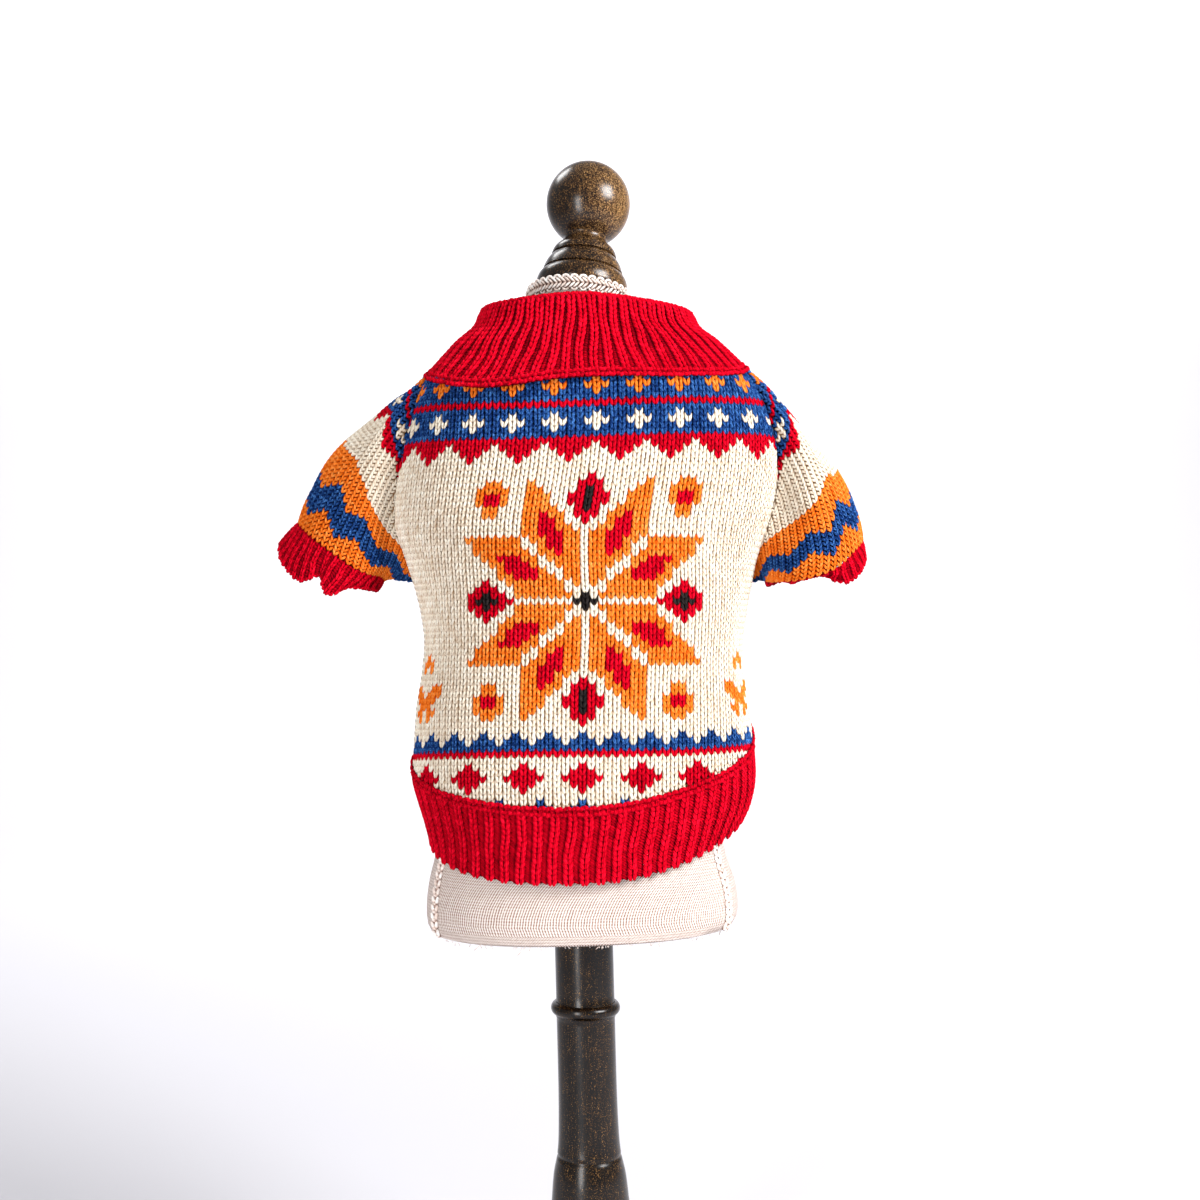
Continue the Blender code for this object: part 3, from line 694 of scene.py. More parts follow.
def panelGrid(panel):
    halfRows = np.arange(2 * (panel["rows"] + hiddenRows) + 1) / 2 - hiddenRows
    halfColumns = np.arange(2 * panel["columns"] + 1) / 2 - panel["columns"] / 2
    middle = panel["middle"]
    rowHeight = panel["top"] - halfRows * body["course"]
    spread = np.linspace(-90, 90, fineSteps)
    heights = np.broadcast_to(rowHeight[:, None], (len(rowHeight), fineSteps))
    run = addedUp(sectionPoint(sweaterSections, middle + spread[None], heights))
    run -= run[:, fineSteps // 2, None]
    along = halfColumns * body["wale"]
    skew = panel["skew"] * (rowHeight - 400) / 230
    angle = np.array([np.interp(along + skew[k], run[k], spread) for k in range(len(rowHeight))])
    limit = panelLimit(panel["face"], rowHeight)[:, None]
    angle = middle + np.clip(angle, -limit, limit)
    low = np.clip((530 - rowHeight) / 130, 0, 1)[:, None]
    left = np.clip(-along / 130, 0, 1)[None] ** 2
    yoke = np.clip((rowHeight - 560) / 70, 0, 1)[:, None]
    edges = (along / 110)[None] ** 2
    height = rowHeight[:, None] - panel["droop"] * low * left
    height = height + body["yokeCorners"] * yoke * np.clip(edges, 0, 1)
    height += body["yokeRight"] * rising(rowHeight, 530, 580)[:, None] * towardsRight(angle)
    height = np.clip(height, hemSeam(angle) + 1.0, collarSeam(angle) - 0.2)
    return sectionPoint(sweaterSections, angle, height)


def folded(grid, folds):
    # soft troughs and ridges, each along a line from one point of the cloth to another
    across = np.gradient(grid, axis=1)
    up = -np.gradient(grid, axis=0)
    out = unit(np.cross(across, up))
    depth = np.zeros(grid.shape[:2])
    for x1, z1, x2, z2, width, height in folds:
        start, end = np.array([x1, z1]), np.array([x2, z2])
        flat = grid[..., [0, 2]]
        line = end - start
        along = np.clip(((flat - start) @ line) / (line @ line), 0, 1)
        gap = length(flat - (start + along[..., None] * line))
        depth += height * np.exp(-((gap / width) ** 2)) * np.sin(np.pi * np.clip(along * 0.9 + 0.05, 0, 1))
    return grid + out * depth[..., None]


def knitPanel(panel):
    grid = folded(panelGrid(panel), panel["folds"])
    half = panel["columns"] // 2
    colours = [
        [yarnNames.index(panel["colour"](row, column)) for column in range(-half, half + 1)]
        for row in range(-hiddenRows, panel["rows"])
    ]
    name = panel["name"]
    materials = [paintedShadeYarns[key] for key in yarnNames]
    mesh = gridMesh(name + "Cloth", grid[::2, ::2], colours=colours)
    cloth = thinCloth(name + "Cloth", mesh, materials, [panel["node"]])
    cells = cellsOf(grid)
    rows = np.arange(-hiddenRows, panel["rows"])
    bands = [
        stitches(name + label + "Stitches", panel["grain"], bodyLegs, cells, picked, colours)
        for label, picked in (("Upper", rows < panel["split"]), ("Lower", rows >= panel["split"]))
    ]


backPanel = {
    "name": "backPanel",
    "node": "back_panel",
    "face": "front",
    "middle": 270.0,
    "top": body["collarFront"],
    "rows": 78,
    "columns": 61,
    "split": 36,
    "skew": 4.5,
    "droop": 7.5,
    "colour": backColour,
    "grain": plainGrain,
    # x and z of each end, width and height
    "folds": (
        (-104, 560, -70, 520, 9, -1.0),
        (108, 555, 78, 515, 9, -1.0),
        (-100, 500, -60, 480, 10, 0.8),
        (-96, 452, -40, 440, 9, -0.7),
        (96, 470, 60, 455, 10, -0.6),
    ),
}
bellyPanel = {
    "name": "bellyPanel",
    "node": "belly_panel",
    "face": "back",
    "middle": 90.0,
    "top": body["collarBack"],
    "rows": 68,
    "columns": 61,
    "split": 33,
    "skew": -2.0,
    "droop": 0.0,
    "colour": bellyColour,
    "grain": coarseGrain,
    "folds": (
        (-100, 560, -66, 520, 9, -1.0),
        (100, 555, 70, 515, 9, -1.0),
        (-60, 540, 60, 530, 12, 0.8),
        (-70, 490, 50, 482, 10, -0.8),
        (60, 470, 96, 462, 9, 0.7),
    ),
}
knitPanel(backPanel)
knitPanel(bellyPanel)


def armhole(side, fraction):
    face = np.where(fraction <= 0.5, 0, 1)
    way = np.minimum(fraction, 1 - fraction)
    share = body["shoulderShare"]
    part = np.clip((way - share) / (0.5 - share), 0, 1)
    front = readTable(raglanSeams, "front", part)
    back = readTable(raglanSeams, "back", part)
    onShoulder = np.clip(way / share, 0, 1)
    degrees = np.where(face == 0, -front, back) * onShoulder
    angle = degrees if side > 0 else 180.0 - degrees
    top = collarSeam(angle) - 0.15
    height = body["underarm"] + (top - body["underarm"]) * (1 - part)
    return sectionPoint(sweaterSections, angle, height)


def endRing(ring, fraction):
    closed = list(ring)
    closed += [row._replace(round=row.round - 1) for row in ring[-3:]]
    closed += [row._replace(round=row.round + 1) for row in ring[:3]]
    return np.stack([readTable(closed, axis, fraction % 1.0) for axis in "xyz"], -1)


def quarterBlend(quarters, field, fraction):
    total = 0
    for index, one in enumerate(quarters):
        weight = np.maximum(0.0, np.cos(2 * np.pi * (fraction - index / 4))) ** 2
        total = total + weight[..., None] * np.atleast_1d(getattr(one, field))
    return total


def sleeveSurface(sleeve, fraction, part):
    leaving = unit(quarterBlend(sleeve["quarters"], "leaving", fraction))
    arriving = unit(quarterBlend(sleeve["quarters"], "arriving", fraction))
    start = armhole(sleeve["side"], fraction) + leaving * 0.6
    end = endRing(sleeve["ring"], fraction) - arriving * 0.15
    reach = (length(end - start) * 0.8)[..., None]
    part = part[..., None]
    squared, cubed = part**2, part**3
    return (
        start * (2 * cubed - 3 * squared + 1)
        + leaving * reach * (cubed - 2 * squared + part)
        + end * (3 * squared - 2 * cubed)
        + arriving * reach * (cubed - squared)
    )


def sleeveGrid(sleeve):
    # rows are counted from the cuff and columns from the outer line; both are cut off by the raglan seams
    steps = 40
    spread = np.linspace(-0.5, 0.5, fineSteps)
    middle = fineSteps // 2
    fraction = (spread * -sleeve["side"]) % 1.0
    part = np.linspace(1, 0, steps + 1)
    dense = sleeveSurface(sleeve, fraction[None] + 0 * part[:, None], part[:, None] + 0 * fraction[None])
    dense = np.swapaxes(dense, 0, 1)
    run = addedUp(dense)  # along each line from the cuff to the body
    share = body["shoulderShare"]
    rows = round(run[middle, -1] / body["sleeveCourse"])
    along = np.clip((np.abs(spread) - share) / (0.5 - share), 0, 1)
    rowsHere = rows - (rows - sleeve["underRows"]) * along**1.3
    halfColumns = (np.arange(2 * sleeve["columns"] + 1) / 2 - sleeve["columns"] / 2) * body["wale"]
    grid = []
    for k in range(2 * rows + 1):
        row = k / 2
        at = np.minimum(row / rowsHere, 1.0) * run[:, -1]
        line = np.array(
            [
                [np.interp(at[column], run[column], dense[column, :, axis]) for axis in range(3)]
                for column in range(fineSteps)
            ]
        )
        inside = np.nonzero(rowsHere >= row - 1e-6)[0]
        over = addedUp(line)
        over = over - over[middle]
        kept = np.clip(halfColumns, over[inside[0]], over[inside[-1]])
        grid.append(np.stack([np.interp(kept, over, line[:, axis]) for axis in range(3)], -1))
    return np.array(grid)[::-1], rows


def knitSleeve(sleeve):
    grid, rows = sleeveGrid(sleeve)
    grid = folded(grid, sleeve["folds"])
    half = sleeve["columns"] // 2
    colours = [
        [
            yarnNames.index(sleeveColour(rows - 1 - row, column, math.ceil(row - sleeve["lowered"]), sleeve))
            for column in range(-half, half + 1)
        ]
        for row in range(rows)
    ]
    name = sleeve["name"]
    materials = [paintedShadeYarns[key] for key in yarnNames]
    mesh = gridMesh(name + "Cloth", grid[::2, ::2], colours=colours)
    cloth = thinCloth(name + "Cloth", mesh, materials, [sleeve["node"]])
    cells = cellsOf(grid)
    knitted = stitches(name + "Stitches", plainGrain, sleeveLegs, cells, np.full(rows, True), colours)


leftSleeve = {
    "name": "leftSleeve",
    "node": "sleeve_left",
    "side": -1,
    "ring": leftEnd,
    "quarters": leftQuarters,
    "columns": 61,
    "underRows": 10,
    "blueRows": 6,
    "bow": 2.4,  # rows that the orange rises at the outer line
    "lowered": 0,
    "folds": (
        (-150, 622, -172, 570, 16, 3.0),
        (-106, 646, -124, 634, 8, -2.6),
        (-128, 560, -150, 540, 9, -1.4),
    ),
}
rightSleeve = {
    "name": "rightSleeve",
    "node": "sleeve_right",
    "side": 1,
    "ring": rightEnd,
    "quarters": rightQuarters,
    "columns": 61,
    "underRows": 10,
    "blueRows": 5,
    "bow": -1.6,
    "lowered": 1.5,
    "folds": (
        (150, 600, 168, 560, 14, 1.5),
        (128, 560, 142, 535, 9, -1.2),
    ),
}
knitSleeve(leftSleeve)
knitSleeve(rightSleeve)


def evenRound(surface, count):
    # turns round the piece that are equally far apart half way down it
    turn = np.linspace(0, 1, 361)
    run = addedUp(surface(turn, np.full(361, 0.5)))
    return np.interp(np.arange(count) / count * run[-1], run, turn)


def knitRib(rib, surface):
    # a rib is one column of knit stitches standing up and one of purl stitches sunk between
    ribs, rows = rib["ribs"], rib["rows"]
    turn = evenRound(surface, 4 * ribs)
    turn = np.unwrap(turn * 2 * np.pi) / (2 * np.pi)
    down = np.arange(2 * rows + 1) / (2 * rows)
    turns, downs = np.meshgrid(turn, down)
    sway = np.sin(2 * np.pi * (3 * turns + 0.5 * downs))
    sway = sway + 0.7 * np.sin(2 * np.pi * (11 * turns + 0.35 - downs))
    bent = turns + rib["wander"] / ribs * sway * np.sin(np.pi * downs)
    points = surface(bent, downs)
    across = np.roll(points, -1, 1) - np.roll(points, 1, 1)
    up = -np.gradient(points, axis=0)
    out = unit(np.cross(across, up))
    wave = np.broadcast_to(np.cos(2 * np.pi * np.arange(4 * ribs) / 4), points.shape[:2])
    fade = np.clip(np.minimum(downs, rib["fadeEnd"] - downs) * rows / 1.5, 0.1, 1)
    points = points + out * (wave * fade * rib["depth"] + rib["lift"])[..., None]
    # knit columns hang a little lower than the purl ones at a free edge
    points = points + unit(-up) * (np.clip(downs * 5 - 4, 0, 1) * (wave - 1) * rib["scallop"])[..., None]
    name = rib["name"]
    closed = np.concatenate([points, points[:, :1]], 1)
    mesh = gridMesh(name + "Cloth", closed[::2])
    cloth = thinCloth(name + "Cloth", mesh, [paintedShadeYarns["red"]], [rib["node"]], 1.0)
    parts = {"Stitches": [], "PurlBars": []}

    def add(kind, centres, halves, outs, widths, heights, tonesAndShade):
        count = len(centres)
        sizes = [uneven(np.broadcast_to(size, count), count) for size in (widths, heights)]
        parts[kind].append((centres, halves, outs, *sizes, np.broadcast_to(tonesAndShade, count)))

    def flat(values):
        return values.reshape(-1, values.shape[-1])

    for first in (0, 2):
        picked = np.arange(first, 4 * ribs, 4)
        centre = flat(points[1::2][:, picked])
        ahead = points[1::2][:, (picked + 2) % (4 * ribs)] - points[1::2][:, picked - 2]
        pitch = flat(length(ahead)[..., None])[:, 0]
        over = flat(unit(ahead))
        rise = flat(points[:-2:2][:, picked] - points[2::2][:, picked])
        facing = flat(out[1::2][:, picked])
        knitWidth = np.minimum(rib["knitWidth"], 0.9 * pitch)
        if first == 0:
            wide = over * knitWidth[:, None]
            centres, halves = stitchLegs(centre, wide, rise, facing, 0.3, 1.75, 0.27, 0.5)
            widths = np.tile(knitWidth * 0.47, 2)
            add("Stitches", centres, halves, np.tile(facing, (2, 1)), widths, rib["thick"], 0.54)
        else:
            # two bars to each purl stitch, deeper and darker at the first row than at the last; this
            # darkness, and the bars being darker than the knit legs, is painted shade in the sunk gutter
            gap = (pitch - knitWidth)[:, None]
            low = flat(downs[1::2][:, picked, None]) ** 2
            sunk = rib["purlLift"][0] + (rib["purlLift"][1] - rib["purlLift"][0]) * low
            tonesAndShade = rib["purlPaintedShade"][0] + (rib["purlPaintedShade"][1] - rib["purlPaintedShade"][0]) * low[:, 0]
            for step in (-0.25, 0.25):
                slope = rib["purlSlope"] + dice.normal(0.0, 0.15, (len(centre), 1))
                halves = over * (gap / 2 + 0.5) + unit(rise) * slope * (gap / 2 + 0.5)
                place = centre + rise * step + facing * sunk
                add("PurlBars", place, halves, facing, length(rise) * 0.56, 1.8, tonesAndShade)
    for level, lift, drop in rib["chains"]:
        row = min(int(round(level * 2 * rows)), 2 * rows)
        facing = out[row]
        line = points[row] - facing * (wave[row] * fade[row] * rib["depth"])[:, None]
        step = np.roll(line, -1, 0) - line
        upward = unit(np.cross(facing, step))
        tilt = np.where(np.arange(len(line)) % 2 == 0, 1.0, -1.0)[:, None]
        halves = step * 0.55 + upward * tilt * 1.4
        centres = line + step / 2 + facing * lift - upward * drop + dice.normal(0, 0.16, (len(line), 3))
        add("Stitches", centres, halves, facing, rib["chainWidth"], 2.4, 0.5)
    for kind, template in (("Stitches", plainGrain), ("PurlBars", coarseGrain)):
        *shapes, tonesAndShade = [np.concatenate(column) for column in zip(*parts[kind])]
        slots = np.zeros(len(tonesAndShade), int)
        strands(name + kind, template, *shapes, slots, [yarns["red"]], "red_rib", tonesAndShade)
    print(name, "ribbed,", ribs, "ribs")


collarRib = {
    "name": "collar",
    "node": "collar",
    "ribs": 62,
    "rows": 17,
    "depth": 0.5,
    "lift": 0.3,
    "wander": 0.2,
    "fadeEnd": 1.0,
    "scallop": 0.0,
    "knitWidth": 5.4,
    "thick": 2.4,
    "purlSlope": -0.4,
    "purlLift": (0.2, 1.1),
    "purlPaintedShade": (0.16, 0.42),
    # level, how far it stands off and how far below its row
    "chains": ((0.0, 0.6, 0.0), (0.93, 1.5, 0.0), (1.0, 1.9, 0.4)),
    "chainWidth": 2.8,
    "flat": (0.50, 0.058),
    "held": "stretched",
}


def collarSurface(turn, down):
    angle = 360.0 * turn
    foot = sectionPoint(sweaterSections, angle, collarSeam(angle))
    # the collar sags over the shoulder on the left
    sag = 5.0 * np.exp(-(((angle - 228.0) / 20.0) ** 2)) + 1.0 * np.exp(-(((angle - 305.0) / 15.0) ** 2))
    foot[..., 2] -= 0.6 + sag
    rim = rimPoint(angle)
    rim[..., 2] += 3.0 * np.clip(-np.sin(np.radians(angle)), 0, 1) ** 4  # pulled up in front
    rim[..., 2] -= 2.2 * np.clip(np.cos(np.radians(angle)), 0, 1)
    up = 1 - down
    inward = readTable(collarSteps, "inward", up)[..., None]
    points = foot + (rim - foot) * inward
    points[..., 2] = foot[..., 2] + (rim[..., 2] - foot[..., 2]) * up
    # its foot stands off over the yoke, except on the shoulders
    outward = unit(foot * (1.0, 1.0, 0.0))
    sagging = np.exp(-(((angle - 230.0) / 24.0) ** 2))
    off = 1.9 * np.sin(np.radians(angle)) ** 4 + 3.2 * sagging
    return points + outward * (off * np.clip(down * 3 - 2, 0, 1))[..., None]


knitRib(collarRib, collarSurface)

hemRib = {
    "name": "hemBand",
    "node": "hem_band",
    "ribs": 61,
    "rows": 14,
    "depth": 0.45,
    "lift": 0.3,
    "wander": 0.07,
    "fadeEnd": 2.0,
    "scallop": 0.3,
    "knitWidth": 6.1,
    "thick": 2.4,
    "purlSlope": -0.8,
    "purlLift": (0.8, 0.75),
    "purlPaintedShade": (0.42, 0.38),
    "chains": ((0.0, 1.9, -0.6), (0.075, 1.6, 0.0)),
    "chainWidth": 2.8,
    "flat": (0.56, 0.048),
    "held": "stretched",
}


def hemSurface(turn, down):
    angle = 360.0 * turn
    top = hemSeam(angle)
    return sectionPoint(sweaterSections, angle, top + (hemEdge(angle) - top) * down)


knitRib(hemRib, hemSurface)

# how far the free edge stands from the sleeve's end, at places round it
leftCuffEdge = (
    ringPoint(0.00, -13.0, 0.0, -14.0),
    ringPoint(0.05, -12.5, -4.0, -22.0),
    ringPoint(0.12, -8.0, -6.0, -27.0),
    ringPoint(0.18, -6.0, -4.0, -20.0),
    ringPoint(0.22, -6.5, 2.0, -15.0),
    ringPoint(0.28, -11.0, -3.0, -18.0),
    ringPoint(0.33, -12.5, -5.0, -18.5),
    ringPoint(0.40, -11.0, -2.0, -10.0),
    ringPoint(0.47, -4.0, -3.0, -9.0),
    ringPoint(0.56, -5.0, 1.0, -7.0),
    ringPoint(0.66, -9.0, 4.0, -9.5),
    ringPoint(0.78, -9.0, 7.0, -14.0),
    ringPoint(0.90, -13.0, 4.0, -17.0),
)
rightCuffEdge = (
    ringPoint(0.00, 0.0, -1.0, -9.5),
    ringPoint(0.06, 3.0, -4.0, -10.5),
    ringPoint(0.12, 4.5, -5.0, -12.0),
    ringPoint(0.18, 3.5, -4.0, -13.0),
    ringPoint(0.23, 1.0, 0.0, -9.0),
    ringPoint(0.28, -1.0, 8.0, -1.5),
    ringPoint(0.35, -2.0, 13.0, 1.5),
    ringPoint(0.40, -1.0, 10.0, -1.5),
    ringPoint(0.46, -2.0, 11.0, 1.0),
    ringPoint(0.55, 1.0, 8.0, -4.0),
    ringPoint(0.66, 3.0, 6.0, -11.0),
    ringPoint(0.78, 4.0, 7.0, -12.0),
    ringPoint(0.91, 2.0, 4.0, -11.0),
)

ruffledCuff = {
    "rows": 6,
    "depth": 0.12,
    "lift": 0.0,
    "wander": 0.12,
    "fadeEnd": 2.0,
    "scallop": 0.3,
    "knitWidth": 3.8,
    "thick": 1.9,
    "purlSlope": -0.3,
    "purlLift": (0.4, 0.3),
    "purlPaintedShade": (0.34, 0.3),
    "chains": ((1.0, 0.2, 0.0),),
    "chainWidth": 1.9,
    "held": "gathered",
}
leftCuff = {
    **ruffledCuff,
    "name": "leftCuff",
    "node": "cuff_left",
    "ribs": 32,
    "flat": (0.21, 0.018),
    "ring": leftEnd,
    "edge": leftCuffEdge,
    "side": -1,
}
rightCuff = {
    **ruffledCuff,
    "name": "rightCuff",
    "node": "cuff_right",
    "ribs": 30,
    "flat": (0.18, 0.015),
    "ring": rightEnd,
    "edge": rightCuffEdge,
    "side": 1,
}


def cuffSurface(cuff):
    centre = np.mean([row[1:] for row in cuff["ring"]], axis=0)

    def surface(turn, down):
        fraction = (turn * -cuff["side"]) % 1.0
        start = endRing(cuff["ring"], fraction)
        edge = endRing(cuff["edge"], fraction)
        spread = unit((start - centre) * (1.0, 1.0, 0.4))
        belly = 0.7 * np.sin(np.pi * np.clip(down, 0, 1))
        return start + edge * (0.02 + 0.98 * down)[..., None] + spread * belly[..., None]

    return surface


knitRib(leftCuff, cuffSurface(leftCuff))
knitRib(rightCuff, cuffSurface(rightCuff))

neckTilt = 0.18  # how far the neck's top edge falls towards the back
neckMiddle = -4.4


def neckSlope(x, y):
    # how far the top edge lies below level; it also falls a little to the right
    return 1.8 + neckTilt * y + 0.06 * (x - neckMiddle)


def formCover():
    columns, rows = 96, 80
    angle = -360.0 * np.arange(columns + 1) / columns
    height = np.linspace(699.0, 291.0, rows + 1)
    angles, heights = np.meshgrid(angle, height)
    points = sectionPoint(formSections, -angles, heights)
    points[..., 2] -= neckSlope(points[..., 0], points[..., 1]) * np.clip((heights - 678) / 14, 0, 1)
    run = addedUp(points)
    drop = np.broadcast_to((height[0] - height)[:, None], run.shape)
    uvs = np.stack([run, drop], -1) * mm
    mesh = gridMesh("formCover", points, uvName="weave", uvs=uvs)
    cover = bmesh.new()
    cover.from_mesh(mesh)
    rim = [edge for edge in cover.edges if edge.is_boundary]
    bottom = [edge for edge in rim if edge.verts[0].co.z < 0.4]
    top = [edge for edge in rim if edge.verts[0].co.z > 0.6]
    for _ in range(2):  # the hem of the cover is turned in under the form
        made = bmesh.ops.extrude_edge_only(cover, edges=bottom)
        moved = [item for item in made["geom"] if isinstance(item, bmesh.types.BMVert)]
        bottom = [item for item in made["geom"] if isinstance(item, bmesh.types.BMEdge) and item.is_boundary]
        for vertex in moved:
            vertex.co.x = (vertex.co.x - neckMiddle * mm) * 0.97 + neckMiddle * mm
            vertex.co.y *= 0.97
            vertex.co.z -= 0.8 * mm
    bmesh.ops.edgeloop_fill(cover, edges=bottom)
    bmesh.ops.edgeloop_fill(cover, edges=top)
    bmesh.ops.recalc_face_normals(cover, faces=cover.faces)
    cover.to_mesh(mesh)
    cover.free()
    mesh.shade_smooth()
    mesh.set_sharp_from_angle(angle=math.radians(50))
    piece = finished("formCover", mesh, [linen], ["torso_form"])


def sideBraid(name, node, angle):
    # a crocheted chain of round loops, lying just in front of the side line
    pitch, width = 4.7, 5.4
    height = np.arange(590.0, 291.0, -pitch)
    angles = np.full(len(height), angle)
    path = sectionPoint(formSections, angles, height)
    beside = sectionPoint(formSections, angles + 1, height) - sectionPoint(formSections, angles - 1, height)
    down = unit(sectionPoint(formSections, angles, height - 1) - path)
    out = unit(np.cross(down, beside))
    out = unit(out + (0.0, -1.2, 0.0))
    side = unit(np.cross(out, down))
    centres, halves, outs, widths = [], [], [], []
    for hand in (-1, 1):
        centres.append(path + out * 1.5 + side * hand * width * 0.24)
        halves.append(down * pitch * 0.62 - side * hand * width * 0.13 - out * 0.4)
        outs.append(out)
        widths.append(np.full(len(path), width * 0.46))
    # the next loop's head crosses between them, and a cord in a darker copy of the gimp, painted shade, lies
    # under each loop
    centres += [path + down * pitch * 0.45 + out * 1.8, path + out * 0.6]
    halves += [side * width * 0.36 + down * 0.5, down * pitch * 0.75]
    outs += [out, out]
    widths += [np.full(len(path), 1.7), np.full(len(path), width * 1.25)]
    centres, halves, outs, widths = [np.concatenate(item) for item in (centres, halves, outs, widths)]
    slots = np.repeat([0, 0, 0, 1], len(path))
    heights = np.where(slots == 1, 1.4, 2.4)
    cords = [gimp, gimpShaded]
    braid = strands(name, plainGrain, centres, halves, outs, widths, heights, slots, cords, "cotton_gimp")
    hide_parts(node)


def frayedEdge():
    # short threads left at the raw edge of the linen, and two long ones
    threads = 150
    turn = dice.uniform(0, 360, threads)
    foot = sectionPoint(formSections, turn, np.full(threads, 290.0)) * (0.985, 0.985, 1.0)
    outward = unit(foot * (1.0, 1.0, 0.0))
    reach = dice.uniform(0.6, 1.6, threads)
    reach[:2] = 5.0
    foot[:2] = (-62.0, -54.0, 290.0), (-36.0, -61.0, 288.8)
    way = unit(dice.normal(0, 0.7, (threads, 3)) + (0.0, 0.0, -0.9))
    way[:2] = (-0.75, -0.2, -0.62), (-0.6, -0.5, -0.6)
    halves = way * reach[:, None]
    centres = foot + halves * 0.8 - (0.0, 0.0, 0.4)
    sizes = np.full(threads, 0.55)
    slots = np.zeros(threads, int)
    strands("frayedEdge", plainGrain, centres, halves, outward, sizes, sizes, slots, [gimp], "cotton_gimp")


neckGimp = {
    "name": "neckGimp",
    "units": 38,
    "radius": 33.4,
    "centre": (neckMiddle, 0.0),
    "low": 690.6,
    "high": 700.2,
}
# height of each turn of the band under it, which is coloured in painted shade, and how far it stands from
# that radius
bandRings = ((699.0, -1.6), (699.2, -0.8), (698.6, -0.2), (692.4, -0.2), (691.6, -0.8), (691.8, -1.6))


def gimpRound(gimpSizes):
    # herringbone strands between two scalloped edges of small loops
    units = gimpSizes["units"]
    turn = 2 * np.pi * np.arange(units) / units
    middle = (gimpSizes["low"] + gimpSizes["high"]) / 2
    radius = gimpSizes["radius"]
    pitch = 2 * np.pi * radius / units

    def around(turns, height, extra=0.0):
        x = gimpSizes["centre"][0] + (radius + extra) * np.cos(turns)
        y = gimpSizes["centre"][1] + (radius + extra) * np.sin(turns)
        return np.stack([x, y, height - neckSlope(x, y)], -1)

    centres, halves, outs, widths = [], [], [], []
    outward = np.stack([np.cos(turn), np.sin(turn), 0 * turn], -1)
    tangent = np.stack([-np.sin(turn), np.cos(turn), 0 * turn], -1)
    upward = np.array([0.0, 0.0, 1.0])
    for offset in (-pitch / 4, pitch / 4):  # two strands sweep from each loop down to the middle line
        for hand in (-1, 1):
            centres.append(around(turn, middle + hand * 1.6, 1.1) + tangent * offset)
            halves.append(tangent * pitch * 0.4 - upward * hand * 1.9)
            outs.append(outward)
            widths.append(np.full(units, 1.5))
    for hand, level, size in ((1, gimpSizes["high"] - 1.0, 1.0), (-1, gimpSizes["low"] + 1.0, 0.8)):
        for piece in range(5):  # each scallop is a loop of five short strands
            swing = math.pi * (piece - 2) / 5
            shift = tangent * pitch * 0.36 * size * math.sin(swing)
            rise = hand * 1.5 * size * (math.cos(swing) - 0.35)
            centres.append(around(turn, level + rise, 0.5) + shift)
            along = tangent * pitch * 0.22 * math.cos(swing) - upward * hand * 1.2 * math.sin(swing)
            halves.append(along * size)
            outs.append(outward)
            widths.append(np.full(units, 1.75 * size))
    centres, halves, outs, widths = [np.concatenate(item) for item in (centres, halves, outs, widths)]
    count = len(centres)
    name = gimpSizes["name"]
    heights = np.full(count, 1.7)
    slots = np.zeros(count, int)
    strands(name, plainGrain, centres, halves, outs, widths, heights, slots, [gimp], "cotton_gimp")
    columns = 96
    angles = 2 * np.pi * np.arange(columns + 1) / columns
    band = gridMesh("gimpBand", np.array([around(angles, height, extra) for height, extra in bandRings]))
    finished(name + "Band", band, [gimpShaded], ["neck_braid"])


formCover()
sideBraid("sideBraidLeft", "side_braid_left", 199.5)
sideBraid("sideBraidRight", "side_braid_right", -19.5)
frayedEdge()
gimpRound(neckGimp)
print("dress form covered")


def arc(radius, height, size, first, last, steps):
    turns = [math.radians(first + (last - first) * step / steps) for step in range(steps + 1)]
    return [(radius + size * math.cos(turn), height + size * math.sin(turn)) for turn in turns]


def turnedPiece(name, profile, material, node):
    # a profile of (radius, height) spun round its axis
    lathe = bmesh.new()
    points = [lathe.verts.new((radius * mm, 0, height * mm)) for radius, height in profile]
    edges = [lathe.edges.new(pair) for pair in zip(points, points[1:])]
    bmesh.ops.spin(
        lathe,
        geom=points + edges,
        cent=(0, 0, 0),
        axis=(0, 0, 1),
        angle=2 * math.pi,
        steps=64,
        use_merge=True,
        use_normal_flip=False,
        use_duplicate=False,
    )
    bmesh.ops.remove_doubles(lathe, verts=lathe.verts, dist=0.01 * mm)
    bmesh.ops.recalc_face_normals(lathe, faces=lathe.faces)
    mesh = bpy.data.meshes.new(name)
    lathe.to_mesh(mesh)
    lathe.free()
    mesh.shade_smooth()
    mesh.set_sharp_from_angle(angle=math.radians(38))
    return finished(name, mesh, [material], [node])


profilePoint = namedtuple("profilePoint", "place radius height")


def softened(points, steps=6):
    # a smooth curve through (radius, height) points
    rows = [profilePoint(place, *point) for place, point in enumerate(points)]
    at = np.linspace(0, len(points) - 1, steps * (len(points) - 1) + 1)
    return list(zip(readTable(rows, "radius", at), readTable(rows, "height", at)))


def finialProfile():
    top = arc(0.0, 57.8, 27.6, 90, -58, 40)
    cone = softened([(14.1, 33.9), (13.9, 32.6), (14.2, 31.2), (15.2, 30.0)], 3)
    cone += [(14.7, 29.5), (15.1, 28.9)]
    cone += softened([(16.4, 28.6), (18.8, 26.8), (20.6, 24.0), (21.4, 21.0)], 4)
    cone += [(20.1, 20.3), (20.5, 19.3)]
    cone += softened([(22.2, 18.8), (24.2, 15.8), (25.5, 12.6), (26.3, 9.8)], 4)
    cone += [(25.1, 9.1), (25.5, 8.1)]
    cone += softened([(27.4, 7.7), (28.8, 5.6), (29.7, 2.6), (30.0, -0.6)], 4)
    cone += [(29.9, -3.4), (29.4, -4.0), (0.0, -4.0)]
    return top + cone


